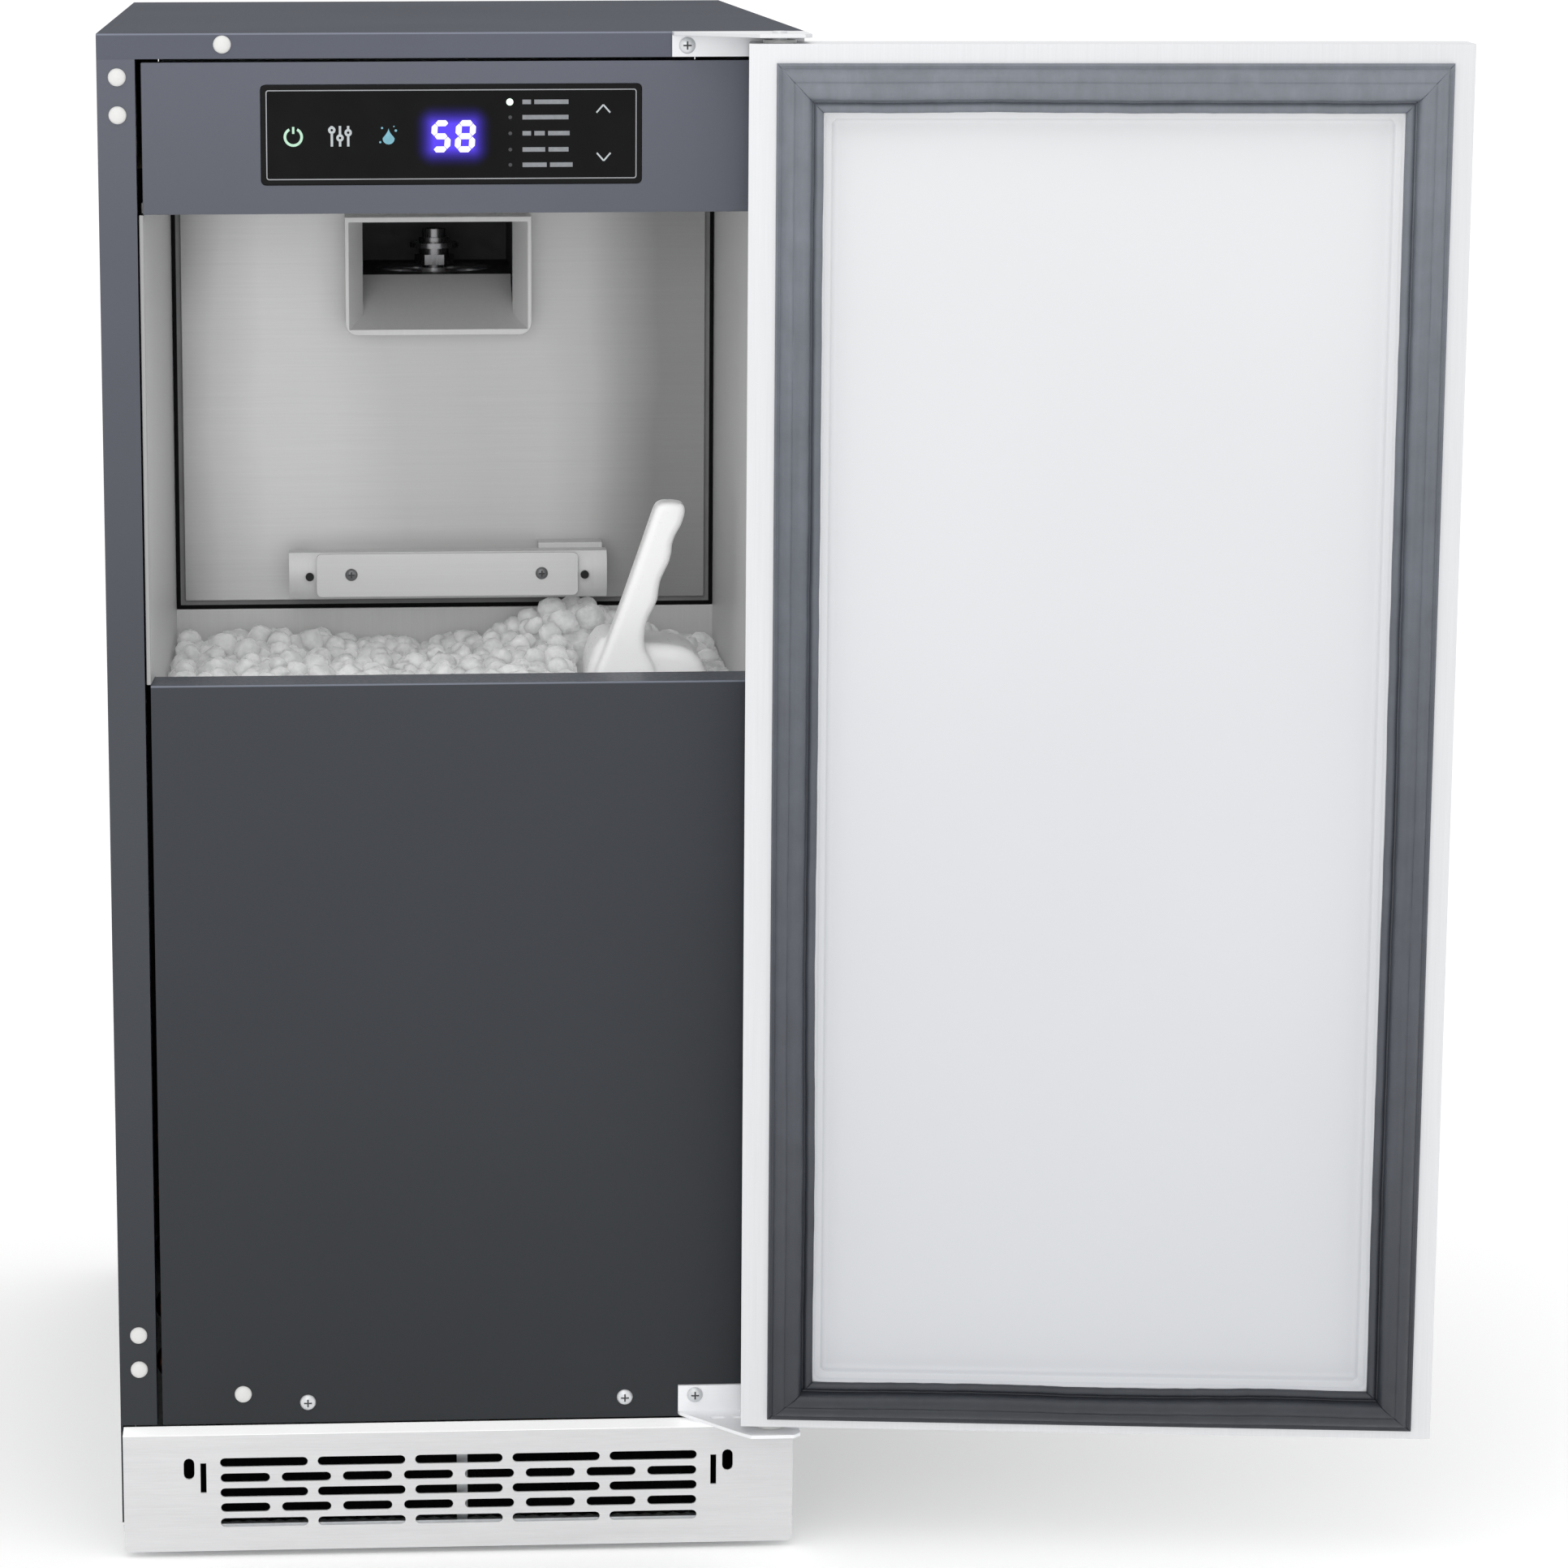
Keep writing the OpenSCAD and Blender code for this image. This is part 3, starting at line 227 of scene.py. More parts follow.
def brushed(name, tone, along="x", contrast=0.1, gloss=0.3, bands=(), metal=1.0, rim=None):
    """Brushed steel with its grain along one axis. Bands are (x, shade) pairs of painted reflection across it,
    and rim is (depth, shade) of painted shade at its front edge."""
    look = Look(name, Metallic=metal)
    grain_scale = {"x": (14, 900, 900), "y": (900, 14, 900), "z": (900, 900, 14)}[along]
    fine = look.noise(1.0, 4.0, 0.7, look.stretched(*grain_scale))
    coarse = look.noise(1.0, 3.0, 0.6, look.stretched(*[s / 3 for s in grain_scale]))
    grain = look.mixed(fine, coarse, 0.6)
    shade = look.vary(grain, 1.0 - contrast, 1.0 + contrast * 0.5)
    if bands:
        wander = look.vary(look.noise(5.0, 2.0), -0.012, 0.012)
        across = look.maths("ADD", look.axis(0), wander)
        place = look.spread(across, bands[0][0], bands[-1][0])
        width = bands[-1][0] - bands[0][0]
        stops = [((x - bands[0][0]) / width, (v, v, v, 1.0)) for x, v in bands]
        soft = look.ramp(place, stops)
        shade = look.shaded(soft, shade)
    if rim:
        back_from = FRONT_Y + rim[0]
        edge = look.spread(look.axis(1), back_from, back_from + 0.6 * MM, rim[1], 1.0)
        shade = look.maths("MULTIPLY", shade, edge)
    look.colour(look.shaded(tone, shade))
    look.rough(look.vary(grain, gloss - 0.06, gloss + 0.08))
    look.bump(grain, 0.08, 0.0002)
    return look.material


def moulded(name, tone, gloss=0.4, grain=0.1, scale=1400.0, spread=0.05, **values):
    """Moulded plastic, rubber or enamel: fine grain, and faint cloudiness in its colour."""
    look = Look(name, **values)
    cloud = look.vary(look.noise(25.0, 3.0), 1.0 - spread, 1.0 + spread)
    look.colour(look.shaded(tone, cloud))
    look.rough(look.vary(look.noise(300.0, 2.0), gloss - 0.05, gloss + 0.05))
    look.bump(look.noise(scale, 2.0), grain, 0.0003)
    return look.material


def seal_vinyl():
    """Grey gasket vinyl: satin, dusty on its ridges, and darker towards the floor with painted shade."""
    look = Look("seal_vinyl", Specular_IOR_Level=0.45)
    # painted shade: lighter at the top, darker towards the floor
    height = look.spread(look.axis(2), 0.08, 0.84)
    foot, mid, top = srgb(44, 47, 53), srgb(84, 88, 96), srgb(116, 121, 129)
    tone = look.ramp(height, [(0.0, foot), (0.5, mid), (1.0, top)])
    dust = look.spread(look.noise(38.0, 4.0, 0.65), 0.35, 0.75, 0.9, 1.12)
    streak = look.noise(1.0, 3.0, 0.6, look.stretched(260.0, 260.0, 9.0))
    look.colour(look.shaded(look.shaded(tone, dust), look.vary(streak, 0.93, 1.05)))
    look.rough(look.vary(look.noise(90.0, 3.0), 0.36, 0.52))
    look.bump(look.noise(160.0, 3.0), 0.25, 0.0006)
    return look.material


def satin_liner():
    """White vacuum-formed panel: satin, very slightly uneven, with painted shade that darkens it towards the
    floor.
    """
    look = Look("satin_liner", Specular_IOR_Level=0.4, Coat_Weight=0.15, Coat_Roughness=0.35)
    # painted shade: lighter at the top, darker towards the floor
    height = look.spread(look.axis(2), 0.08, 0.84)
    tone = look.ramp(height, [(0.0, srgb(201, 203, 207)), (1.0, srgb(218, 219, 221))])
    cloud = look.vary(look.noise(4.0, 3.0), 0.985, 1.01)
    look.colour(look.shaded(tone, cloud))
    look.rough(look.vary(look.noise(500.0, 2.0), 0.34, 0.42))
    look.bump(look.noise(1.0, 3.0, 0.6, look.stretched(60.0, 60.0, 900.0)), 0.06, 0.0002)
    return look.material


def nugget_ice():
    """Compressed flake ice: cloudy, wet, each nugget a little different, with painted shade on the nuggets further
    back and a painted glow that lifts their shade.
    """
    look = Look(
        "nugget_ice", Subsurface_Weight=1.0, Subsurface_Scale=0.02, Specular_IOR_Level=0.5, IOR=1.31
    )
    look.shader.inputs["Subsurface Radius"].default_value = (1.0, 1.0, 1.0)
    island = look.node("ShaderNodeNewGeometry").outputs["Random Per Island"]
    cloud = look.noise(150.0, 4.0, 0.6)
    share = look.mixed(island, cloud, 0.3)
    tones = [(0.2, srgb(198, 199, 199)), (0.5, srgb(219, 220, 220)), (0.8, srgb(242, 242, 242))]
    # painted shade: nuggets further back from the front are darker
    depth = look.spread(look.axis(1), FRONT_Y + 30 * MM, FRONT_Y + 120 * MM, 1.0, 0.8)
    look.colour(look.shaded(look.ramp(share, tones), depth))
    look.rough(look.vary(cloud, 0.14, 0.38))
    # painted light: the ice glows, though it is no lamp
    look.glow(look.shaded(WHITE, look.maths("MULTIPLY", cloud, depth)), 0.24)
    look.bump(look.noise(380.0, 3.0, 0.6), 0.3, 0.0008)
    return look.material


def display_black():
    """Gloss black window with the faintest smear."""
    look = Look("display_black", Specular_IOR_Level=0.1)
    look.window_finish()
    return look.material


def lit(name, tone, strength, dim=0.85):
    """Backlit symbol: a little uneven, as diffused light is."""
    look = Look(name, Roughness=0.3)
    unlit = [(0.3, (0.01, 0.01, 0.01, 1)), (0.7, (0.03, 0.03, 0.03, 1))]
    look.colour(look.ramp(look.noise(200.0), unlit))
    patch = look.vary(look.noise(500.0, 2.0), dim, 1.0)
    look.glow(look.shaded(tone, patch), strength)
    return look.material


def soft_halo(name, tone, strength, centre, half_width, half_height, reach):
    """Light scattered in the window: full inside a rectangle, gone at reach from it."""
    look = Look(name, Specular_IOR_Level=0.1)
    look.window_finish()
    rectangle = (half_width, 1.0, half_height)
    place = look.vector_maths("SUBTRACT", look.coords, centre)
    size = look.vector_maths("ABSOLUTE", place.outputs[0])
    beyond = look.vector_maths("SUBTRACT", size.outputs[0], rectangle)
    outside = look.vector_maths("MAXIMUM", beyond.outputs[0])
    away = look.vector_maths("LENGTH", outside.outputs[0])
    fade = look.spread(away.outputs["Value"], 0.0, reach, 1.0, 0.0)
    look.glow(look.shaded(tone, look.maths("POWER", fade, 3.0)), strength)
    return look.material


def rigid_foam(name, gap_shade_depth=0.0):
    """Cellular foam, painted black as shade for the given depth behind the front plane, where it shows in the
    gaps.
    """
    look = Look(name, Roughness=0.9, Specular_IOR_Level=0.2)
    cells = look.node("ShaderNodeTexVoronoi", {"Vector": look.coords, "Scale": 700.0})
    shade = look.spread(cells.outputs["Distance"], 0.0, 0.6, 0.86, 1.03)
    tone = srgb(232, 214, 170)
    # painted shade: black near the front, where the gaps show the foam
    if gap_shade_depth:
        gap_shade = look.spread(look.axis(1), FRONT_Y + gap_shade_depth, FRONT_Y + gap_shade_depth + MM, 1.0, 0.0)
        tone = look.blended(gap_shade, tone, srgb(8, 8, 8))
    look.colour(look.shaded(tone, shade))
    look.bump(cells.outputs["Distance"], 0.4, 0.0008)
    return look.material


def seal_lip():
    """Black cabinet seal, with a grey lip against the panel that it frames."""
    low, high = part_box("panel_seal")
    look = Look("seal_black", Specular_IOR_Level=0.1)
    across = look.maths("ABSOLUTE", look.maths("SUBTRACT", look.axis(0), (low.x + high.x) / 2))
    half = (high.x - low.x) / 2
    side = look.spread(across, half - 2.4 * MM, half - 2.2 * MM)
    sill = look.spread(look.axis(2), low.z + 2.2 * MM, low.z + 2.4 * MM, 1.0, 0.0)
    tone = look.blended(look.maths("MAXIMUM", side, sill), srgb(126, 126, 127), srgb(7, 7, 7))
    look.colour(look.shaded(tone, look.vary(look.noise(60.0), 0.9, 1.05)))
    look.rough(look.vary(look.noise(300.0, 2.0), 0.65, 0.75))
    look.bump(look.noise(1400.0), 0.2, 0.0003)
    return look.material


def screw_nickel():
    """Nickel-plated heads, darker on the sensor bar, from 0.50 to 0.61 m above the floor."""
    look = Look("screw_nickel", Metallic=0.6)
    z = look.axis(2)
    above, below = look.spread(z, 0.50, 0.51), look.spread(z, 0.60, 0.61, 1.0, 0.0)
    in_bin = look.maths("MULTIPLY", above, below)
    tone = look.blended(in_bin, srgb(210, 212, 214), srgb(118, 119, 120))
    look.colour(look.shaded(tone, look.vary(look.noise(200.0, 2.0), 0.92, 1.04)))
    look.rough(look.vary(look.noise(400.0), 0.3, 0.42))
    look.bump(look.noise(900.0, 2.0), 0.1, 0.0002)
    return look.material


def zinc_coat():
    """Galvanised sheet with its faint spangle."""
    look = Look("zinc_coat", Metallic=0.85)
    cells = look.node("ShaderNodeTexVoronoi", {"Vector": look.coords, "Scale": 230.0})
    spangle = look.node("ShaderNodeSeparateColor", {"Color": cells.outputs["Color"]}).outputs[0]
    share = look.mixed(look.noise(22.0, 3.0), spangle, 0.7)
    look.colour(look.ramp(share, [(0.2, srgb(178, 181, 183)), (0.8, srgb(200, 203, 205))]))
    look.rough(look.spread(share, 0.2, 0.8, 0.36, 0.48))
    look.bump(look.noise(500.0), 0.05, 0.0002)
    return look.material


def board_green():
    """Circuit board with the pattern of its tracks."""
    look = Look("board_green", Roughness=0.35, Coat_Weight=0.3)
    colours = {"Color1": srgb(18, 92, 56), "Color2": srgb(22, 104, 62), "Mortar": srgb(52, 140, 88)}
    place = {"Vector": look.stretched(130.0, 130.0, 130.0)}
    tracks = look.node("ShaderNodeTexBrick", place | colours)
    look.colour(tracks.outputs["Color"])
    look.bump(look.noise(800.0), 0.1, 0.0002)
    return look.material


def kick_steel():
    """Brushed kick plate, white on the upper side of its top flange as a painted highlight that also glows."""
    look = Look("kick_brushed")
    fine = look.noise(1.0, 5.0, 0.75, look.stretched(40.0, 900.0, 1100.0))
    streak = look.noise(1.0, 3.0, 0.6, look.stretched(9.0, 120.0, 160.0))
    grain = look.mixed(fine, streak, 0.6)
    shade = look.vary(grain, 0.9, 1.05)
    # painted highlight: the upper side of the flange is white and glows
    flange = look.spread(look.axis(2), KICK_Z - 0.3 * MM, KICK_Z - 0.1 * MM)
    look.colour(look.blended(flange, look.shaded(srgb(216, 216, 217), shade), srgb(255, 255, 255)))
    look.feed(look.shader.inputs["Metallic"], look.spread(flange, 0.0, 1.0, 0.4, 0.0))
    look.glow(look.shaded(WHITE, flange), 0.3)
    look.rough(look.vary(grain, 0.36, 0.48))
    look.bump(grain, 0.08, 0.0002)
    return look.material


def door_satin():
    """Stainless door shell: near white flange round the seal, brushed grey on the outer face."""
    look = Look("door_satin", Metallic=0.4)
    angle = math.radians(-HINGE["range_deg"][0])
    across = look.maths("SUBTRACT", look.axis(0), HINGE["pos_m"][0])
    back = look.maths("SUBTRACT", look.axis(1), HINGE["pos_m"][1])
    depth = look.maths(
        "SUBTRACT",
        look.maths("MULTIPLY", back, math.cos(angle)),
        look.maths("MULTIPLY", across, math.sin(angle)),
    )
    outer = look.spread(depth, -17.8 * MM, -17.2 * MM, 1.0, 0.0)
    fine = look.noise(1.0, 4.0, 0.7, look.stretched(900.0, 900.0, 14.0))
    tone = look.blended(outer, srgb(218, 219, 221), srgb(186, 187, 189))
    look.colour(look.shaded(tone, look.vary(fine, 0.96, 1.02)))
    look.rough(look.vary(fine, 0.34, 0.46))
    look.bump(fine, 0.06, 0.0002)
    return look.material


# Slate paint at the top, middle and foot of the cabinet: painted light at the top and painted shade deepening to
# the foot, with darker painted shade on the lower front panel
SLATE_TOP_LIGHT, SLATE_MID_SHADE, SLATE_FOOT_SHADE = srgb(92, 95, 105), srgb(68, 71, 77), srgb(43, 46, 50)
PANEL_MID_SHADE, PANEL_FOOT_SHADE = srgb(55, 58, 64), srgb(38, 41, 44)
# Reflections across the cover panel: (x, shade)
PANEL_BANDS = [
    (-0.152, 0.5), (-0.143, 0.76), (-0.13, 1.0), (-0.105, 1.14), (-0.07, 1.08), (-0.03, 0.93),
    (0.02, 0.9), (0.06, 0.94), (0.085, 0.86), (0.102, 0.66), (0.125, 0.46), (0.152, 0.52),
]

# Finish of each material slot
LOOKS = {
    "body_paint": painted("slate_paint", SLATE_TOP_LIGHT, SLATE_MID_SHADE, SLATE_FOOT_SHADE),
    "galvanised": zinc_coat(),
    "kick_steel": kick_steel(),
    "liner_steel": brushed("liner_brushed", srgb(208, 208, 208), "z", 0.05, 0.45, metal=0.3),
    "sensor_plate": brushed("sensor_satin", srgb(208, 208, 208), "x", 0.05, 0.4, metal=0.4),
    "foam": rigid_foam("rigid_foam"),
    "black_rubber": moulded("black_rubber", srgb(22, 22, 23), 0.6, 0.2),
    "black_plastic": moulded(
        "black_plastic", srgb(24, 24, 26), 0.38, 0.12, Specular_IOR_Level=0.25
    ),
    "display": display_black(),
    "circuit": board_green(),
    "white_plastic": moulded("white_plastic", srgb(216, 216, 214), 0.32, 0.05, spread=0.02),
    "bright_steel": brushed("bright_steel", srgb(224, 225, 227), "x", 0.02, 0.4, metal=0.6),
    "black_enamel": moulded("black_enamel", srgb(24, 24, 27), 0.24, 0.06, Coat_Weight=0.4),
    "alu_fins": brushed("alu_mill", srgb(208, 210, 212), "z", 0.08, 0.34),
    "bronze": brushed("sintered_bronze", srgb(196, 158, 98), "z", 0.1, 0.42),
    "gear_nylon": moulded("natural_nylon", srgb(226, 220, 196), 0.38, 0.08),
    "rotor_steel": brushed("rotor_ground", srgb(160, 161, 165), "z", 0.14, 0.36),
    "tank_plastic": moulded("tank_plastic", srgb(214, 222, 228), 0.3, 0.06),
    "float_plastic": moulded("float_plastic", srgb(226, 132, 48), 0.36, 0.08),
    "copper": brushed("bare_copper", srgb(168, 104, 76), "z", 0.12, 0.34),
    "ice": nugget_ice(),
    "scoop_plastic": moulded("scoop_white", srgb(253, 253, 253), 0.32, 0.02, 120.0, 0.006),
    "foot_black": moulded("foot_black", srgb(30, 30, 32), 0.45, 0.15),
    "door_steel": door_satin(),
    "door_liner": satin_liner(),
    "gasket": seal_vinyl(),
}

# Nodes whose finish differs from the rest of their slot
NODE_LOOKS = {
    # painted shade darkens the flat top of the cover, and a painted highlight lightens its front edge
    "top_cover": painted(
        "cover_paint", SLATE_TOP_LIGHT, SLATE_MID_SHADE, SLATE_FOOT_SHADE, 0.85, (COVER_Z, 0.66, 1.9), 0.1
    ),
    # painted light brightens the ledge top, a painted highlight its front edge, and painted shade keeps the panel
    # below darker than the jambs
    "lower_front_panel": painted(
        "ledge_paint", SLATE_TOP_LIGHT, PANEL_MID_SHADE, PANEL_FOOT_SHADE, shelf=(LEDGE_Z, 2.2, 4.0)
    ),
    # painted shade along the front edge of the liner walls
    "bin_liner": brushed(
        "liner_wall", srgb(208, 208, 208), "z", 0.05, 0.45, metal=0.3, rim=(1.6 * MM, 0.55)
    ),
    "panel_seal": seal_lip(),
    "pan_head_screws": screw_nickel(),
    # painted light: a lighter, less metallic copy of the bracket steel
    "lower_hinge_bracket": brushed("low_bracket", srgb(242, 243, 245), "x", 0.02, 0.45, metal=0.2),
    "door_handle": brushed("handle_bar", srgb(166, 168, 172), "z", 0.06, 0.24),
    "display_bezel": moulded("bezel_black", srgb(7, 7, 8), 0.35, 0.06, Specular_IOR_Level=0.15),
    "chute_duct": moulded("duct_grey", srgb(66, 66, 68), 0.5, 0.1),
    # painted shade: foam black near the front, where it shows in the gaps
    "bin_insulation": rigid_foam("foam_gap_shaded", 32 * MM),
    "machine_cover_panel": brushed(
        "cover_panel_brushed", srgb(204, 204, 204), "x", 0.07, 0.45, PANEL_BANDS, 0.35
    ),
    "agitator_spindle": brushed("spindle_dark", srgb(150, 150, 152), "z", 0.2, 0.26, metal=0.9),
}


# ---------------------------------------------------------------- building pieces


def closed_mesh(name, verts, faces):
    """A mesh with all its faces turned outwards."""
    mesh = bpy.data.meshes.new(name)
    mesh.from_pydata([tuple(v) for v in verts], [], [tuple(f) for f in faces])
    mesh.validate()
    work = bmesh.new()
    work.from_mesh(mesh)
    bmesh.ops.recalc_face_normals(work, faces=work.faces)
    work.to_mesh(mesh)
    work.free()
    return mesh


def add_piece(name, verts, faces, slot, body, look=None, replaces=(), crease=35):
    """A new mesh in the rest frame that rides a body, smooth except at creases."""
    mesh = closed_mesh(name, verts, faces)
    mesh.materials.append(look or LOOKS[slot])
    mesh.shade_smooth()
    mesh.set_sharp_from_angle(angle=math.radians(crease))
    made = bpy.data.objects.new(name, mesh)
    scene.collection.objects.link(made)
    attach(made, body)
    if replaces:
        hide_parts(*replaces)
    return made


def band(a, b, n):
    """Faces between two loops of n vertices, which start at a and b."""
    return [(a + i, a + (i + 1) % n, b + (i + 1) % n, b + i) for i in range(n)]


def prism(outline, place, y_front, y_back):
    """Vertices and faces of an [x, z] outline given thickness along the depth."""
    n = len(outline)
    verts = [place(x, y_front, z) for x, z in outline] + [place(x, y_back, z) for x, z in outline]
    faces = [tuple(range(n)), tuple(range(2 * n - 1, n - 1, -1))] + band(0, n, n)
    return verts, faces


def front_place(x, d, z):
    """Point across, behind the front plane and above the floor, all in millimetres."""
    return Vector((x * MM, FRONT_Y + d * MM, z * MM))


def joined(parts):
    """One list of vertices and one of faces from several."""
    verts, faces = [], []
    for part_verts, part_faces in parts:
        start = len(verts)
        verts += part_verts
        faces += [tuple(i + start for i in f) for f in part_faces]
    return verts, faces


def bevelled(target, width, segments, angle, clamped):
    """Bevel in millimetres on edges sharper than an angle in degrees."""
    bevel = target.modifiers.new("bevel", "BEVEL")
    bevel.width = width * MM
    bevel.segments = segments
    bevel.limit_method = "ANGLE"
    bevel.angle_limit = math.radians(angle)
    bevel.use_clamp_overlap = clamped


def soften(node, width):
    """Rounds the edges of a CAD node a little, so that they catch the light."""
    made = frame["nodes"][node]
    weld = made.modifiers.new("weld", "WELD")
    weld.merge_threshold = 0.00001
    merge = made.modifiers.new("merge", "DECIMATE")
    merge.decimate_type = "DISSOLVE"
    merge.angle_limit = math.radians(0.4)
    bevelled(made, width, 2, 40, True)
    even = made.modifiers.new("even", "WEIGHTED_NORMAL")
    even.mode = "FACE_AREA"
    even.weight = 80
    even.keep_sharp = False


# ---------------------------------------------------------------- CAD nodes that stay

for node_name, cad_object in frame["nodes"].items():
    cad_object.data.materials.clear()
    look = NODE_LOOKS.get(node_name) or LOOKS[SLOT_OF[node_name]]
    cad_object.data.materials.append(look)

SOFT_EDGES = {
    "left_side_panel": 0.5, "right_side_panel": 0.5, "top_cover": 0.55, "control_fascia": 0.5,
    "lower_front_panel": 0.5, "kick_plate": 0.3, "ice_chute": 0.8, "sensor_bar_housing": 0.7,
    "sensor_bar_cover": 0.6, "machine_cover_panel": 0.4, "display_bezel": 0.35,
    "top_hinge_bracket": 0.5, "lower_hinge_bracket": 0.5, "door_skin": 0.5, "back_panel": 0.3,
    "bin_liner": 0.5,
}
for node_name, edge_width in SOFT_EDGES.items():
    soften(node_name, edge_width)


# ---------------------------------------------------------------- the open door

hinge_line = Matrix.Translation(Vector(HINGE["pos_m"]))
open_turn = Matrix.Rotation(math.radians(-HINGE["range_deg"][0]), 4, "Z")
TO_OPEN = hinge_line @ open_turn @ hinge_line.inverted()
TO_CLOSED = TO_OPEN.inverted()


def closed_box(node):
    """Lowest and highest corner of a door node with the door turned shut."""
    points = [TO_CLOSED @ v.co for v in frame["nodes"][node].data.vertices]
    return [Vector([pick(p[i] for p in points) for i in range(3)]) for pick in (min, max)]


# Section of the seal in millimetres: (distance from its outer edge, height above the door)
SEAL_PROFILE = [
    (0.0, 0.0), (0.0, 1.2), (0.4, 2.2), (1.2, 2.6), (2.0, 2.2), (2.6, 2.2), (3.6, 4.0),
    (5.0, 5.4), (6.8, 6.3), (8.6, 6.9), (9.4, 6.8), (9.9, 6.5), (10.5, 6.8), (11.4, 7.5),
    (13.2, 8.2), (15.2, 8.6), (17.0, 8.2), (18.2, 7.0), (19.0, 4.6), (19.5, 1.8), (20.2, 1.5),
    (20.8, 2.6), (21.6, 3.4), (22.8, 3.7), (24.2, 3.3), (25.2, 2.4), (25.5, 1.2), (25.2, 0.0),
]
SEAL_FULL = SEAL_PROFILE[-2][0]
SEAL_WIDTHS = {"left": 25.0, "right": 25.0, "foot": 22.5, "top": 26.0}
# Places along each length, from 0 to 1, where the seal is pressed in
SEAL_DENTS = {"left": [0.13, 0.2, 0.62], "right": [0.38, 0.86, 0.8], "top": [0.7], "foot": [0.35]}


def build_gasket():
    """Magnetic seal: four mitred lengths of extruded vinyl, slightly wavy as fitted."""
    low, high = closed_box("door_gasket")
    back_y, face_y = low.y, high.y
    inset = {
        side: [u / SEAL_FULL * width * MM for u, proud in SEAL_PROFILE]
        for side, width in SEAL_WIDTHS.items()
    }

    def corner(k, x_side, z_side):
        x = low.x + inset["left"][k] if x_side == "left" else high.x - inset["right"][k]
        z = low.z + inset["foot"][k] if z_side == "foot" else high.z - inset["top"][k]
        return Vector((x, 0, z))

    sides = [
        ("foot", ("left", "foot"), ("right", "foot"), Vector((0, 0, 1)), 70),
        ("right", ("right", "foot"), ("right", "top"), Vector((-1, 0, 0)), 150),
        ("top", ("right", "top"), ("left", "top"), Vector((0, 0, -1)), 70),
        ("left", ("left", "top"), ("left", "foot"), Vector((1, 0, 0)), 150),
    ]
    n = len(SEAL_PROFILE)
    parts = []
    for index, (side, start, end, inward, count) in enumerate(sides):
        verts, faces = [], []
        seam = [0.0, 0.0009, 0.0025]
        steps = seam + [i / count for i in range(1, count)] + [1 - t for t in seam[::-1]]
        for t in steps:
            hold = min(1.0, t * 12, (1 - t) * 12)
            mitre = 0.35 * MM if t in (0.0, 1.0) else 0.0
            wander = noise.noise(Vector((t * 5.0, index * 7.3, 1.5))) * 0.9 * MM * hold
            ripple = noise.noise(Vector((t * 42.0, index * 3.1, 8.2))) * 0.28 * MM * hold
            press = sum(math.exp(-(((t - d) / 0.012) ** 2)) for d in SEAL_DENTS[side])
            for k, (u, proud) in enumerate(SEAL_PROFILE):
                point = corner(k, *start).lerp(corner(k, *end), t)
                share = min(1.0, u / 12.0)
                point += inward * (wander * share + ripple * share)
                lift = proud * MM * (1 - 0.22 * press * math.exp(-(((u - 8) / 5) ** 2)))
                if 4 < u < 24 and proud > 2:
                    lift += 0.15 * MM * noise.noise(Vector((t * 30.0, u * 0.4, index))) * hold
                point.y = back_y + max(0.0, min(lift, face_y - back_y) - mitre)
                verts.append(TO_OPEN @ point)
        last = (len(steps) - 1) * n
        for i in range(len(steps) - 1):
            faces += band(i * n, (i + 1) * n, n)
        faces.append(tuple(range(n)))
        faces.append(tuple(range(last + n - 1, last - 1, -1)))
        parts.append((verts, faces))
    verts, faces = joined(parts)
    add_piece(
        "gasket_extrusion", verts, faces, "gasket", "door", replaces=["door_gasket"], crease=50
    )


def rounded_ring(x0, x1, z0, z1, radius, steps=6):
    """Outline of a rectangle with round corners, as (x, z) points."""
    points = []
    corners = [(x1, z1, 0), (x0, z1, 90), (x0, z0, 180), (x1, z0, 270)]
    for x, z, start in corners:
        cx = x - radius if x == x1 else x + radius
        cz = z - radius if z == z1 else z + radius
        for i in range(steps + 1):
            a = math.radians(start + 90 * i / steps)
            points.append((cx + radius * math.cos(a), cz + radius * math.sin(a)))
    return points


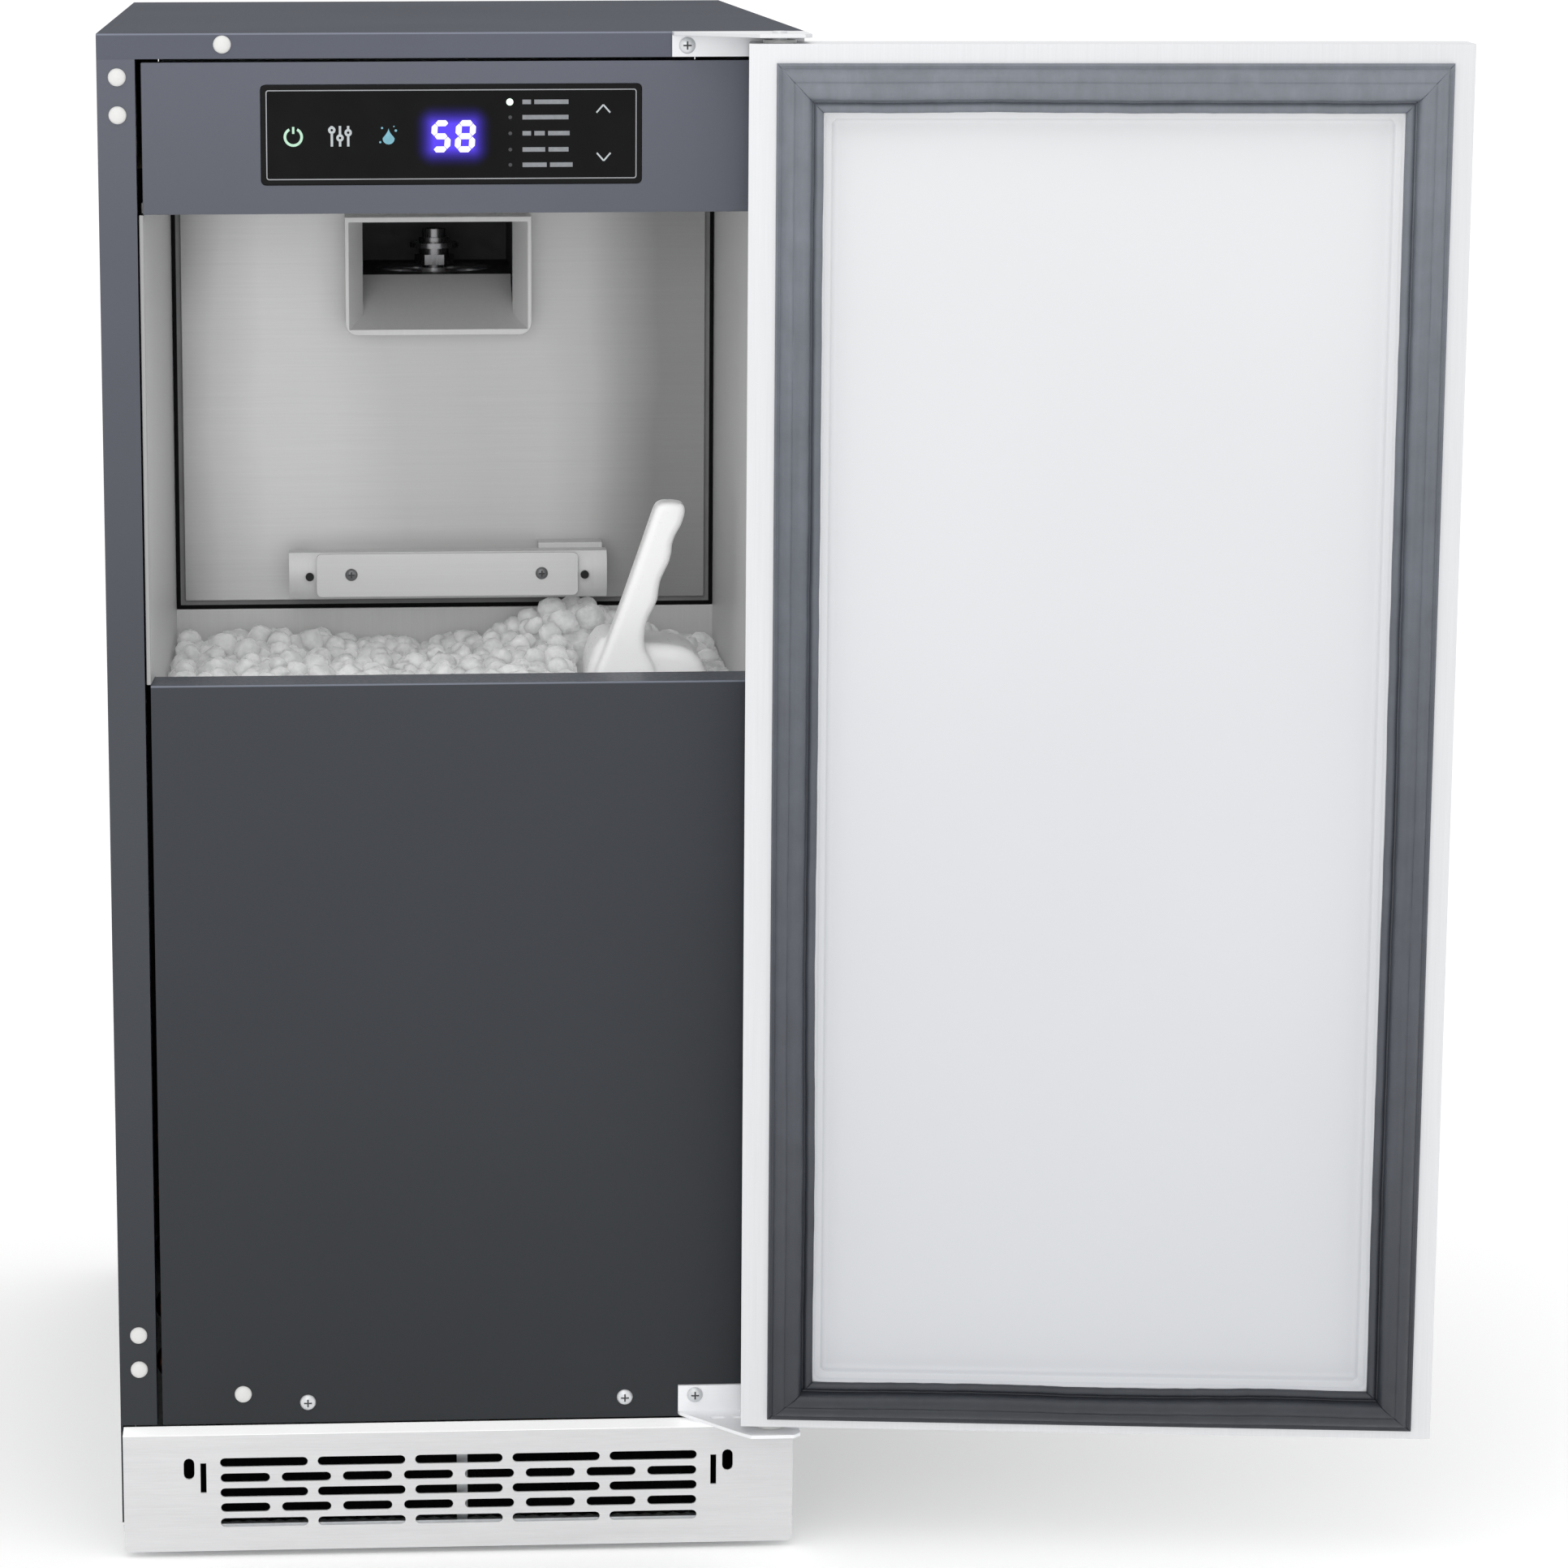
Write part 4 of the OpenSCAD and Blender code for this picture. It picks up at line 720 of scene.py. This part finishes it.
def build_inner_panel():
    """Vacuum-formed door panel: flat rim, stepped wall and a shallow dish."""
    low, high = closed_box("door_inner_panel")
    seal_low, seal_high = closed_box("door_gasket")
    rim_y, back_y = high.y, low.y
    x0, x1 = seal_low.x + 26 * MM, seal_high.x - 26 * MM
    z0, z1 = seal_low.z + 23 * MM, seal_high.z - 26 * MM
    floor_y = back_y + 2 * MM

    def ring(grow, radius, y):
        points = rounded_ring(x0 - grow, x1 + grow, z0 - grow, z1 + grow, radius)
        return [TO_OPEN @ Vector((x, y, z)) for x, z in points]

    edge = rounded_ring(low.x, high.x, low.z, high.z, 3 * MM)
    rings = [
        [TO_OPEN @ Vector((x, rim_y - 2 * MM, z)) for x, z in edge],
        [TO_OPEN @ Vector((x, rim_y, z)) for x, z in edge],
        ring(2.6 * MM, 6.0 * MM, rim_y),
        ring(1.2 * MM, 5.0 * MM, rim_y - 0.3 * MM),
        ring(0.3 * MM, 4.2 * MM, rim_y - 1.2 * MM),
        ring(0.0, 4.0 * MM, rim_y - 3.6 * MM),
        ring(-0.5 * MM, 3.8 * MM, rim_y - 4.4 * MM),
        ring(-2.6 * MM, 3.4 * MM, rim_y - 4.8 * MM),
        ring(-3.4 * MM, 3.2 * MM, rim_y - 5.4 * MM),
        ring(-3.8 * MM, 3.0 * MM, rim_y - 8.6 * MM),
        ring(-4.6 * MM, 3.0 * MM, floor_y + 0.3 * MM),
        ring(-6.2 * MM, 3.0 * MM, floor_y),
        ring(-9.0 * MM, 3.0 * MM, floor_y),
    ]
    back = [ring(2.0 * MM, 5.0 * MM, rim_y - 2 * MM), ring(2.0 * MM, 5.0 * MM, back_y)]
    n = len(edge)
    verts = [p for r in rings + back for p in r]
    faces = []
    for r in range(len(rings) - 1):
        faces += band(r * n, (r + 1) * n, n)
    last = (len(rings) - 1) * n
    faces.append(tuple(range(last, last + n)))
    first_back = len(rings) * n
    faces += band(0, first_back, n) + band(first_back, first_back + n, n)
    faces.append(tuple(range(first_back + 2 * n - 1, first_back + n - 1, -1)))
    add_piece(
        "door_dish", verts, faces, "door_liner", "door", replaces=["door_inner_panel"], crease=50
    )


# ---------------------------------------------------------------- scoop

# Depths from and to in millimetres, then the outlines as (x, z)
GRIP_DEPTHS, BOWL_DEPTHS, HOLLOW_DEPTHS = (58, 78), (66, 122), (69.4, 118.6)
SCOOP_GRIP = [
    (80, 462), (78.5, 478), (82, 492), (88.5, 508), (97, 531), (106, 557), (114.0, 580.5),
    (115.6, 584.2), (118.5, 586), (124, 586.2), (130.0, 585.4), (131.8, 583), (131.7, 579.6),
    (129.7, 573.2), (126.3, 567.4), (124.6, 562.5), (124.2, 557.6), (123.0, 552.2),
    (120.4, 547.0), (118.2, 542.2), (117.1, 537.2), (116.6, 531.5), (114.6, 526.6),
    (111.6, 521.2), (109.8, 515.2), (109.0, 509), (109.6, 502), (114, 494), (118, 480), (118, 462),
]
SCOOP_BOWL = [
    (77, 444), (77, 486), (78.2, 494), (81, 502), (85, 507), (90, 508.6), (98, 507.6),
    (110, 504.8), (124, 503.4), (131, 502.2), (137.4, 499.2), (141.8, 494.6), (144.6, 488.5),
    (145.5, 480), (145.5, 444),
]
SCOOP_HOLLOW = [
    (79.6, 436), (79.6, 486), (80.8, 493), (83, 500), (86, 504), (90, 505.6), (98, 504.6),
    (110, 501.8), (124, 500.4), (130, 499.4), (135.4, 497), (139.4, 493), (142, 487.6),
    (142.9, 480), (142.9, 436),
]


def build_scoop():
    """One moulding: a grip with finger hollows that swells into a bowl, mouth down."""

    def solid(outline, depths):
        mesh = closed_mesh("scoop_form", *prism(outline, front_place, *depths))
        made = bpy.data.objects.new("scoop_form", mesh)
        scene.collection.objects.link(made)
        return made

    def combine(target, other, operation):
        cut = target.modifiers.new("boolean", "BOOLEAN")
        cut.operation = operation
        cut.solver = "EXACT"
        cut.object = other

    grip = solid(SCOOP_GRIP, GRIP_DEPTHS)
    bevelled(grip, 3.6, 4, 60, False)
    bowl = solid(SCOOP_BOWL, BOWL_DEPTHS)
    bevelled(bowl, 7, 4, 60, False)
    hollow = solid(SCOOP_HOLLOW, HOLLOW_DEPTHS)
    combine(bowl, grip, "UNION")
    combine(bowl, hollow, "DIFFERENCE")
    remesh = bowl.modifiers.new("remesh", "REMESH")
    remesh.mode = "VOXEL"
    remesh.voxel_size = 1.0 * MM
    smooth = bowl.modifiers.new("smooth", "SMOOTH")
    smooth.factor = 0.5
    smooth.iterations = 12
    graph = bpy.context.evaluated_depsgraph_get()
    shape = bpy.data.meshes.new_from_object(bowl.evaluated_get(graph))
    for form in (grip, bowl, hollow):
        bpy.data.objects.remove(form)
    verts = [v.co.copy() for v in shape.vertices]
    faces = [tuple(p.vertices) for p in shape.polygons]
    add_piece("ice_scoop", verts, faces, "scoop_plastic", "scoop", replaces=["scoop"], crease=80)


# ---------------------------------------------------------------- ice

ICE_LOW, ICE_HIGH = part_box("ice_heap")
ICE_FRONT, ICE_BACK = (ICE_LOW.y - FRONT_Y) / MM, (ICE_HIGH.y - FRONT_Y) / MM
SCOOP_LOW, SCOOP_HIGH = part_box("scoop")
NUGGET_LAYERS = ((11.5, 6.5), (12.5, 1.5), (18.0, -2.0))  # (pitch, depth in the heap)
# Mounds and a hollow of the heap: (height, x, half width, depth, half depth)
ICE_MOUNDS = ((22, 72, 38, 152, 36), (5, -100, 42, 150, 50), (-2, 5, 35, 150, 40))
BED_COLUMNS, BED_ROWS = 88, 38


def ice_level(x, d):
    """Height of the heap in millimetres at a place given in millimetres."""
    back = max(0.0, min(1.0, (d - 34) / 130))
    level = 484 + 8 * back
    for height, x_mid, x_reach, d_mid, d_reach in ICE_MOUNDS:
        fall = ((x - x_mid) / x_reach) ** 2 + ((d - d_mid) / d_reach) ** 2
        level += height * math.exp(-fall)
    level += 2.5 * noise.noise(Vector((x * 0.03, d * 0.03, 4.0)))
    return level


def ice_half_width(d):
    """Half the width of the heap at a depth, both in millimetres."""
    front, back = ICE_LOW.y, ICE_HIGH.y
    share = (FRONT_Y + d * MM - front) / (back - front)
    return ICE_HIGH.x / MM - share * 8.1


def near_scoop(x, d, margin):
    """Whether a place is within margin of the scoop, seen from above."""
    return (
        SCOOP_LOW.x / MM - margin < x < SCOOP_HIGH.x / MM + margin
        and (SCOOP_LOW.y - FRONT_Y) / MM - margin < d < (SCOOP_HIGH.y - FRONT_Y) / MM + margin
    )


def build_ice_bed():
    """Closed body of ice under the loose nuggets, with a pocket where the scoop stands."""
    columns, rows = BED_COLUMNS, BED_ROWS
    top, foot = [], []
    for j in range(rows + 1):
        d = ICE_FRONT + (ICE_BACK - ICE_FRONT) * j / rows
        half = ice_half_width(d)
        for i in range(columns + 1):
            x = -half + 2 * half * i / columns
            lump = 3.0 * noise.noise(Vector((x * 0.12, d * 0.12, 2.0)))
            z = ice_level(x, d) - 4.5 + lump
            if near_scoop(x, d, 1.5):
                z = SCOOP_LOW.z / MM - 1.5
            top.append(front_place(x, d, z))
            foot.append(Vector((x * MM, FRONT_Y + d * MM, ICE_LOW.z)))
    wide = columns + 1
    size = len(top)
    faces = []
    for j in range(rows):
        for i in range(columns):
            a = j * wide + i
            faces.append((a, a + 1, a + wide + 1, a + wide))
            faces.append((size + a, size + a + wide, size + a + wide + 1, size + a + 1))
    rim = list(range(wide))
    rim += [j * wide + columns for j in range(1, rows + 1)]
    rim += [rows * wide + i for i in range(columns - 1, -1, -1)]
    rim += [j * wide for j in range(rows - 1, 0, -1)]
    for a, b in zip(rim, rim[1:] + rim[:1]):
        faces.append((a, a + size, b + size, b))
    add_piece("ice_bed", top + foot, faces, "ice", "cabinet", replaces=["ice_heap"], crease=60)


def nugget_form():
    """Unit sphere as vertices and faces."""
    work = bmesh.new()
    bmesh.ops.create_icosphere(work, subdivisions=2, radius=1.0)
    verts = [v.co.copy() for v in work.verts]
    faces = [tuple(v.index for v in f.verts) for f in work.faces]
    work.free()
    return verts, faces


def build_nuggets(seed=11):
    """Loose nuggets: short rounded chunks in three layers over the bed."""
    dice = random.Random(seed)
    unit, unit_faces = nugget_form()
    parts = []
    for pitch, sink in NUGGET_LAYERS:
        d = ICE_FRONT + 6.5
        while d < ICE_BACK - 5.5:
            half = ice_half_width(d) - 7
            x = -half + dice.uniform(0, 4)
            while x < half:
                size = dice.uniform(5.2, 9.4)
                wall = max(6.5, size + 0.4)
                reach = ice_half_width(d) - wall
                px = max(-reach, min(reach, x + dice.uniform(-3, 3)))
                pd = max(ICE_FRONT + wall, min(ICE_BACK - wall, d + dice.uniform(-3, 3)))
                drop = dice.uniform(-1.5, 1.5)
                turn = Matrix.Rotation(dice.uniform(0, math.tau), 3, "X")
                turn = turn @ Matrix.Rotation(dice.uniform(0, math.tau), 3, "Z")
                stretch = Vector((1.0, dice.uniform(0.78, 0.98), dice.uniform(0.66, 0.92)))
                offset = Vector((dice.uniform(0, 90), dice.uniform(0, 90), 0))
                x += pitch * dice.uniform(0.85, 1.15)
                if near_scoop(px, pd, size + 1.2):
                    continue
                centre = Vector((px, pd, ice_level(px, pd) - sink + drop - size * 0.35))
                verts = []
                for v in unit:
                    swell = 1 + 0.24 * noise.noise(v * 1.3 + offset)
                    swell += 0.07 * noise.noise(v * 3.1 + offset)
                    box = max(abs(v.x), abs(v.y), abs(v.z))
                    v = v * swell * (1.12 - 0.12 / max(box, 0.6) * 0.6)
                    p = turn @ Vector((v.x * stretch.x, v.y * stretch.y, v.z * stretch.z))
                    verts.append(front_place(*(centre + p * size)))
                parts.append((verts, unit_faces))
            d += pitch * 0.92
    verts, faces = joined(parts)
    add_piece("ice_nuggets", verts, faces, "ice", "cabinet", crease=80)


# ---------------------------------------------------------------- lit display

WINDOW_LOW, WINDOW_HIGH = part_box("display_bezel")
GLASS_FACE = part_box("display_glass")[0].y
WINDOW_MID = ((WINDOW_LOW + WINDOW_HIGH) / 2) / MM
DIGIT_FOOT, DIGIT_HEIGHT = -9.6, 17.2
POWER_X, POWER_Z = -85.1, -1.0
DROP_X, DROP_Z, DROP_RADIUS = -33.9, -2.0, 3.2


def glyph_place(x, depth, z):
    """Point in millimetres from the glass and from the window's middle height."""
    return Vector((x * MM, GLASS_FACE + depth * MM, z * MM + WINDOW_MID.z * MM))


def glyph(outlines):
    """Thin raised outlines on the glass, each a list of (x, height above the middle)."""
    return joined([prism(o, glyph_place, -0.07, 0.02) for o in outlines])


def stroke(a, b, width):
    """Outline of a straight bar from a to b."""
    direction = (Vector(b) - Vector(a)).normalized() * width / 2
    side = Vector((-direction.y, direction.x))
    ends = [Vector(a) + side, Vector(a) - side, Vector(b) - side, Vector(b) + side]
    return [tuple(p) for p in ends]


def arc_band(centre, inner, outer, start, end, steps=28):
    """Outline of a curved bar between two radii, from start to end in degrees."""
    x, z = centre
    angles = [math.radians(start + (end - start) * i / steps) for i in range(steps + 1)]
    ring = [(x + outer * math.cos(a), z + outer * math.sin(a)) for a in angles]
    ring += [(x + inner * math.cos(a), z + inner * math.sin(a)) for a in angles[::-1]]
    return ring


def disc(centre, radius, steps=20):
    """Outline of a full circle."""
    return arc_band(centre, 0.0, radius, 0, 360 - 360 / steps, steps - 1)[:steps]


def segments(digit, left, width):
    """Seven-segment digit as outlines, leaning to the right."""
    lit_bars = {5: "afgcd", 8: "abcdefg"}[digit]
    foot, height, thick, slant = DIGIT_FOOT, DIGIT_HEIGHT, 3.2, 0.07
    gap, half = 0.25, thick / 2
    right, top, middle = left + width, foot + height, foot + height / 2

    def flat(z):
        return [(left + half + gap, z), (left + thick, z + half), (right - thick, z + half),
                (right - half - gap, z), (right - thick, z - half), (left + thick, z - half)]

    def upright(x, z0, z1):
        start, end = z0 + half + gap, z1 - half - gap
        return [(x, z0 + gap), (x + half, start), (x + half, end), (x, z1 - gap),
                (x - half, end), (x - half, start)]

    bars = {
        "a": flat(top - half), "g": flat(middle), "d": flat(foot + half),
        "f": upright(left + half, middle, top - half),
        "b": upright(right - half, middle, top - half),
        "e": upright(left + half, foot + half, middle),
        "c": upright(right - half, foot + half, middle),
    }
    return [[(x + (z - foot) * slant, z) for x, z in bars[bar]] for bar in lit_bars]


def build_display():
    """Lit symbols, digits, lamps and blank label dashes, with the halo of the digits."""
    pale_green = lit("lit_pale_green", srgb(200, 246, 216), 0.95)
    pale_white = lit("lit_white", srgb(214, 222, 224), 0.8)
    cyan = lit("lit_cyan", srgb(122, 190, 208), 0.9)
    digit_light = lit("lit_digits", srgb(240, 236, 255), 1.4, 0.94)
    grey = lit("lit_label", srgb(178, 182, 188), 0.55)
    dim = lit("lit_dim", srgb(70, 72, 78), 0.35)

    def show(name, outlines, look):
        verts, faces = glyph(outlines)
        add_piece(name, verts, faces, "display", "cabinet", look=look)

    ring = arc_band((POWER_X, POWER_Z), 3.8, 5.2, 118, 422)
    show("power_symbol", [ring, stroke((POWER_X, 0.7), (POWER_X, 4.4), 1.2)], pale_green)
    sliders = []
    for x, knob in ((-64.4, 2.6), (-60.0, -1.6), (-55.6, 1.2)):
        sliders.append(stroke((x, -6.2), (x, knob - 1.7), 1.3))
        sliders.append(arc_band((x, knob), 0.7, 2.0, 0, 359, 24))
        sliders.append(stroke((x, knob + 1.7), (x, 4.8), 1.3))
    show("slider_symbol", sliders, pale_white)
    drop = []
    for i in range(32):
        side, rise = math.sin(math.tau * i / 32), math.cos(math.tau * i / 32)
        point = max(0.0, rise)  # narrows and lengthens the upper half
        x = DROP_X + DROP_RADIUS * side * (1 - point ** 1.4)
        drop.append((x, DROP_Z + DROP_RADIUS * rise + 2.4 * point ** 3))
    spots = ((-37.4, 3.6, 0.6), (-30.0, 2.2, 0.7), (-38.4, -4.0, 0.6), (-31.0, 4.4, 0.4))
    sparkles = [disc((x, z), r, 8) for x, z, r in spots]
    show("drop_symbol", [drop] + sparkles, cyan)
    show("digits", segments(5, -11.6, 10.6) + segments(8, 1.4, 10.8), digit_light)
    rows = [17.2, 9.0, 0.4, -8.3, -16.5]
    ready = lit("lit_ready", srgb(226, 255, 232), 1.6)
    show("ready_light", [disc((31.4, rows[0]), 1.9)], ready)
    show("idle_lights", [disc((31.6, z), 1.0, 14) for z in rows[1:]], dim)
    words = [(4.6, 18.4), (24.8,), (4.6, 5.6, 11.6), (12.2, 10.8), (13.0, 12.2)]
    dashes = []
    for z, lengths in zip(rows, words):
        x = 38.2
        for length in lengths:
            dashes.append(stroke((x, z), (x + length, z), 2.4))
            x += length + 1.8
    show("label_dashes", dashes, grey)
    chevrons = []
    for x, z, way in ((81.8, 13.4, 1), (82.0, -12.4, -1)):
        for side in (-1, 1):
            chevrons.append(stroke((x + side * 3.7, z - 2.1 * way), (x, z + 2.1 * way), 0.85))
    show("chevrons", chevrons, pale_white)

    halo_look = soft_halo(
        "digit_halo", srgb(96, 72, 255), 1.0, (0.8 * MM, 0.0, (WINDOW_MID.z - 0.9) * MM),
        10.4 * MM, 6.6 * MM, 12 * MM,
    )
    plate = rounded_ring(-22, 23.5, -20, 18.5, 12)
    verts, faces = prism(plate, glyph_place, -0.02, 0.03)
    add_piece("digit_glow", verts, faces, "display", "cabinet", look=halo_look)


def build_window_edge():
    """Painted highlight of the display window's bevelled glass edge, seen as a thin bright line inside the bezel.
    """
    half_x = (WINDOW_HIGH.x - WINDOW_LOW.x) / 2 / MM - 2.75
    half_z = (WINDOW_HIGH.z - WINDOW_LOW.z) / 2 / MM - 2.75
    outer = rounded_ring(-half_x, half_x, -half_z, half_z, 1.5)
    inner = rounded_ring(0.55 - half_x, half_x - 0.55, 0.55 - half_z, half_z - 0.55, 1.0)
    n = len(outer)
    loops = ((outer, 0.2), (outer, -0.12), (inner, -0.1), (inner, 0.2))
    verts = [glyph_place(x, depth, z) for ring, depth in loops for x, z in ring]
    faces = [face for k in range(4) for face in band(k * n, (k + 1) % 4 * n, n)]
    # painted highlight of the bevelled glass edge
    look = moulded("window_edge_highlight", srgb(150, 152, 155), 0.3, 0.05, spread=0.12)
    add_piece("window_edge", verts, faces, "display", "cabinet", look=look)


# ---------------------------------------------------------------- behind the grille, in the screws


def build_slot_shade():
    """Pleated black sheet of painted shade that stands on the base pan behind the kick plate's slots, so that they
    look dark.
    """
    half, pitch, sheet = 166.0, 4.0, 0.8
    count = int(2 * half / pitch)
    front = [(-half + pitch * i, -7.2 if i % 2 else -4.6) for i in range(count + 1)]
    outline = front + [(x, d + sheet) for x, d in front[::-1]]
    n = len(outline)
    foot_z, top_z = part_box("base_pan")[0].z + 2.2 * MM, KICK_Z - 1.8 * MM
    verts = [Vector((x * MM, FRONT_Y + d * MM, z)) for z in (foot_z, top_z) for x, d in outline]
    faces = band(0, n, n)
    for i in range(count):
        strip = (i, i + 1, n - 2 - i, n - 1 - i)
        faces += [strip, tuple(k + n for k in strip[::-1])]
    # painted shade: a black sheet that darkens the view through the slots
    look = moulded("slot_shade_black", srgb(6, 6, 6), 0.95, 0.6, 1200.0, 0.2, Specular_IOR_Level=0.05)
    add_piece("slot_shade_sheet", verts, faces, "black_rubber", "cabinet", look=look)


def build_screw_recesses():
    """Cross of painted shade at the bottom of each screw's recess, placed as (x, z, depth, size)."""
    spots = [(-84.5, 84.1, 0.0, 4.5), (94.5, 84.1, 0.0, 4.5), (126.8, 842.6, -2.0, 4.5)]
    spots += [(134.1, 85.5, -2.0, 4.5), (-55, 534.3, 139.2, 3.6), (55, 534.3, 139.2, 3.6)]
    parts = []
    for x, z, d, size in spots:
        arm, half = size * 0.5 - 0.03, 0.42
        cross = [(arm, half), (half, half), (half, arm), (-half, arm), (-half, half), (-arm, half)]
        cross += [(-a, -b) for a, b in cross]
        outline = [(x + a, z + b) for a, b in cross]
        parts.append(prism(outline, front_place, d - 1.7, d - 0.3))
    verts, faces = joined(parts)
    # painted shade in the screw recesses
    look = moulded("recess_shade", srgb(58, 58, 60), 0.5, 0.1, spread=0.2)
    add_piece("screw_recesses", verts, faces, "bright_steel", "cabinet", look=look)


build_gasket()
build_inner_panel()
build_slot_shade()
build_screw_recesses()
build_scoop()
build_ice_bed()
build_nuggets()
build_display()
build_window_edge()


# ---------------------------------------------------------------- studio

FLOOR_REACH, FLOOR_GAP = 30.0, 0.4 * MM

# Station solved on the photograph; the shift is chosen, and turns and lens follow it
STATION = (-0.0727, FRONT_Y - 2.465, 0.9436)
PAN, TILT, ROLL = 0.04357, 0.17270, -0.00246
LENS, SENSOR = 104.75, 36.0
LENS_SHIFT = (0.17, -0.085)


def build_stage():
    """Pale floor under a white sky."""
    low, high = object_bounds()
    middle = (low + high) / 2
    mesh = bpy.data.meshes.new("studio_floor")
    corners = [(-FLOOR_REACH, -FLOOR_REACH), (FLOOR_REACH, -FLOOR_REACH)]
    corners += [(-x, -y) for x, y in corners]
    floor_z = low.z - FLOOR_GAP
    points = [(middle.x + x, middle.y + y, floor_z) for x, y in corners]
    mesh.from_pydata(points, [], [(0, 1, 2, 3)])
    look = Look("studio_floor", Roughness=0.9, Specular_IOR_Level=0.1)
    pale = [(0.3, (0.95, 0.95, 0.95, 1)), (0.7, (0.965, 0.965, 0.965, 1))]
    look.colour(look.ramp(look.noise(0.8, 2.0), pale))
    look.glow(WHITE, 0.12)
    mesh.materials.append(look.material)
    floor = bpy.data.objects.new("studio_floor", mesh)
    scene.collection.objects.link(floor)

    world = bpy.data.worlds.new("studio")
    world.use_nodes = True
    sky = world.node_tree.nodes["Background"].inputs
    sky["Color"].default_value = WHITE
    sky["Strength"].default_value = 1.0
    scene.world = world


def area_light(name, place, aim, size, power):
    """Soft rectangular light at place, turned towards aim, with its power in watts."""
    light = bpy.data.lights.new(name, "AREA")
    light.shape = "RECTANGLE"
    light.size, light.size_y = size
    light.energy = power
    made = bpy.data.objects.new(name, light)
    made.location = place
    made.rotation_euler = (Vector(aim) - Vector(place)).to_track_quat("-Z", "Y").to_euler()
    scene.collection.objects.link(made)


def build_camera():
    """The photograph's station point, framed by turning the camera and by a lens shift that
    is small enough for other views of the object to stay in frame."""
    right = Vector((math.cos(PAN), -math.sin(PAN), 0))
    ahead = Vector(
        (math.sin(PAN) * math.cos(TILT), math.cos(PAN) * math.cos(TILT), -math.sin(TILT))
    )
    up = right.cross(ahead)
    side = right * math.cos(ROLL) + up * math.sin(ROLL)
    above = up * math.cos(ROLL) - right * math.sin(ROLL)
    data = bpy.data.cameras.new("camera")
    data.sensor_width = SENSOR
    data.lens = LENS
    data.shift_x, data.shift_y = LENS_SHIFT
    data.clip_start, data.clip_end = 0.05, 100.0
    made = bpy.data.objects.new("camera", data)
    turn = Matrix((side, above, -ahead)).transposed().to_4x4()
    made.matrix_world = Matrix.Translation(STATION) @ turn
    scene.collection.objects.link(made)
    scene.camera = made


build_stage()
build_camera()
area_light("overhead", (-0.5, -1.6, 2.6), (0.1, -0.2, 0.5), (2.2, 1.4), 10)
area_light("front_fill", (-0.5, -2.7, 1.25), (0.0, -0.2, 0.5), (1.1, 0.8), 5)
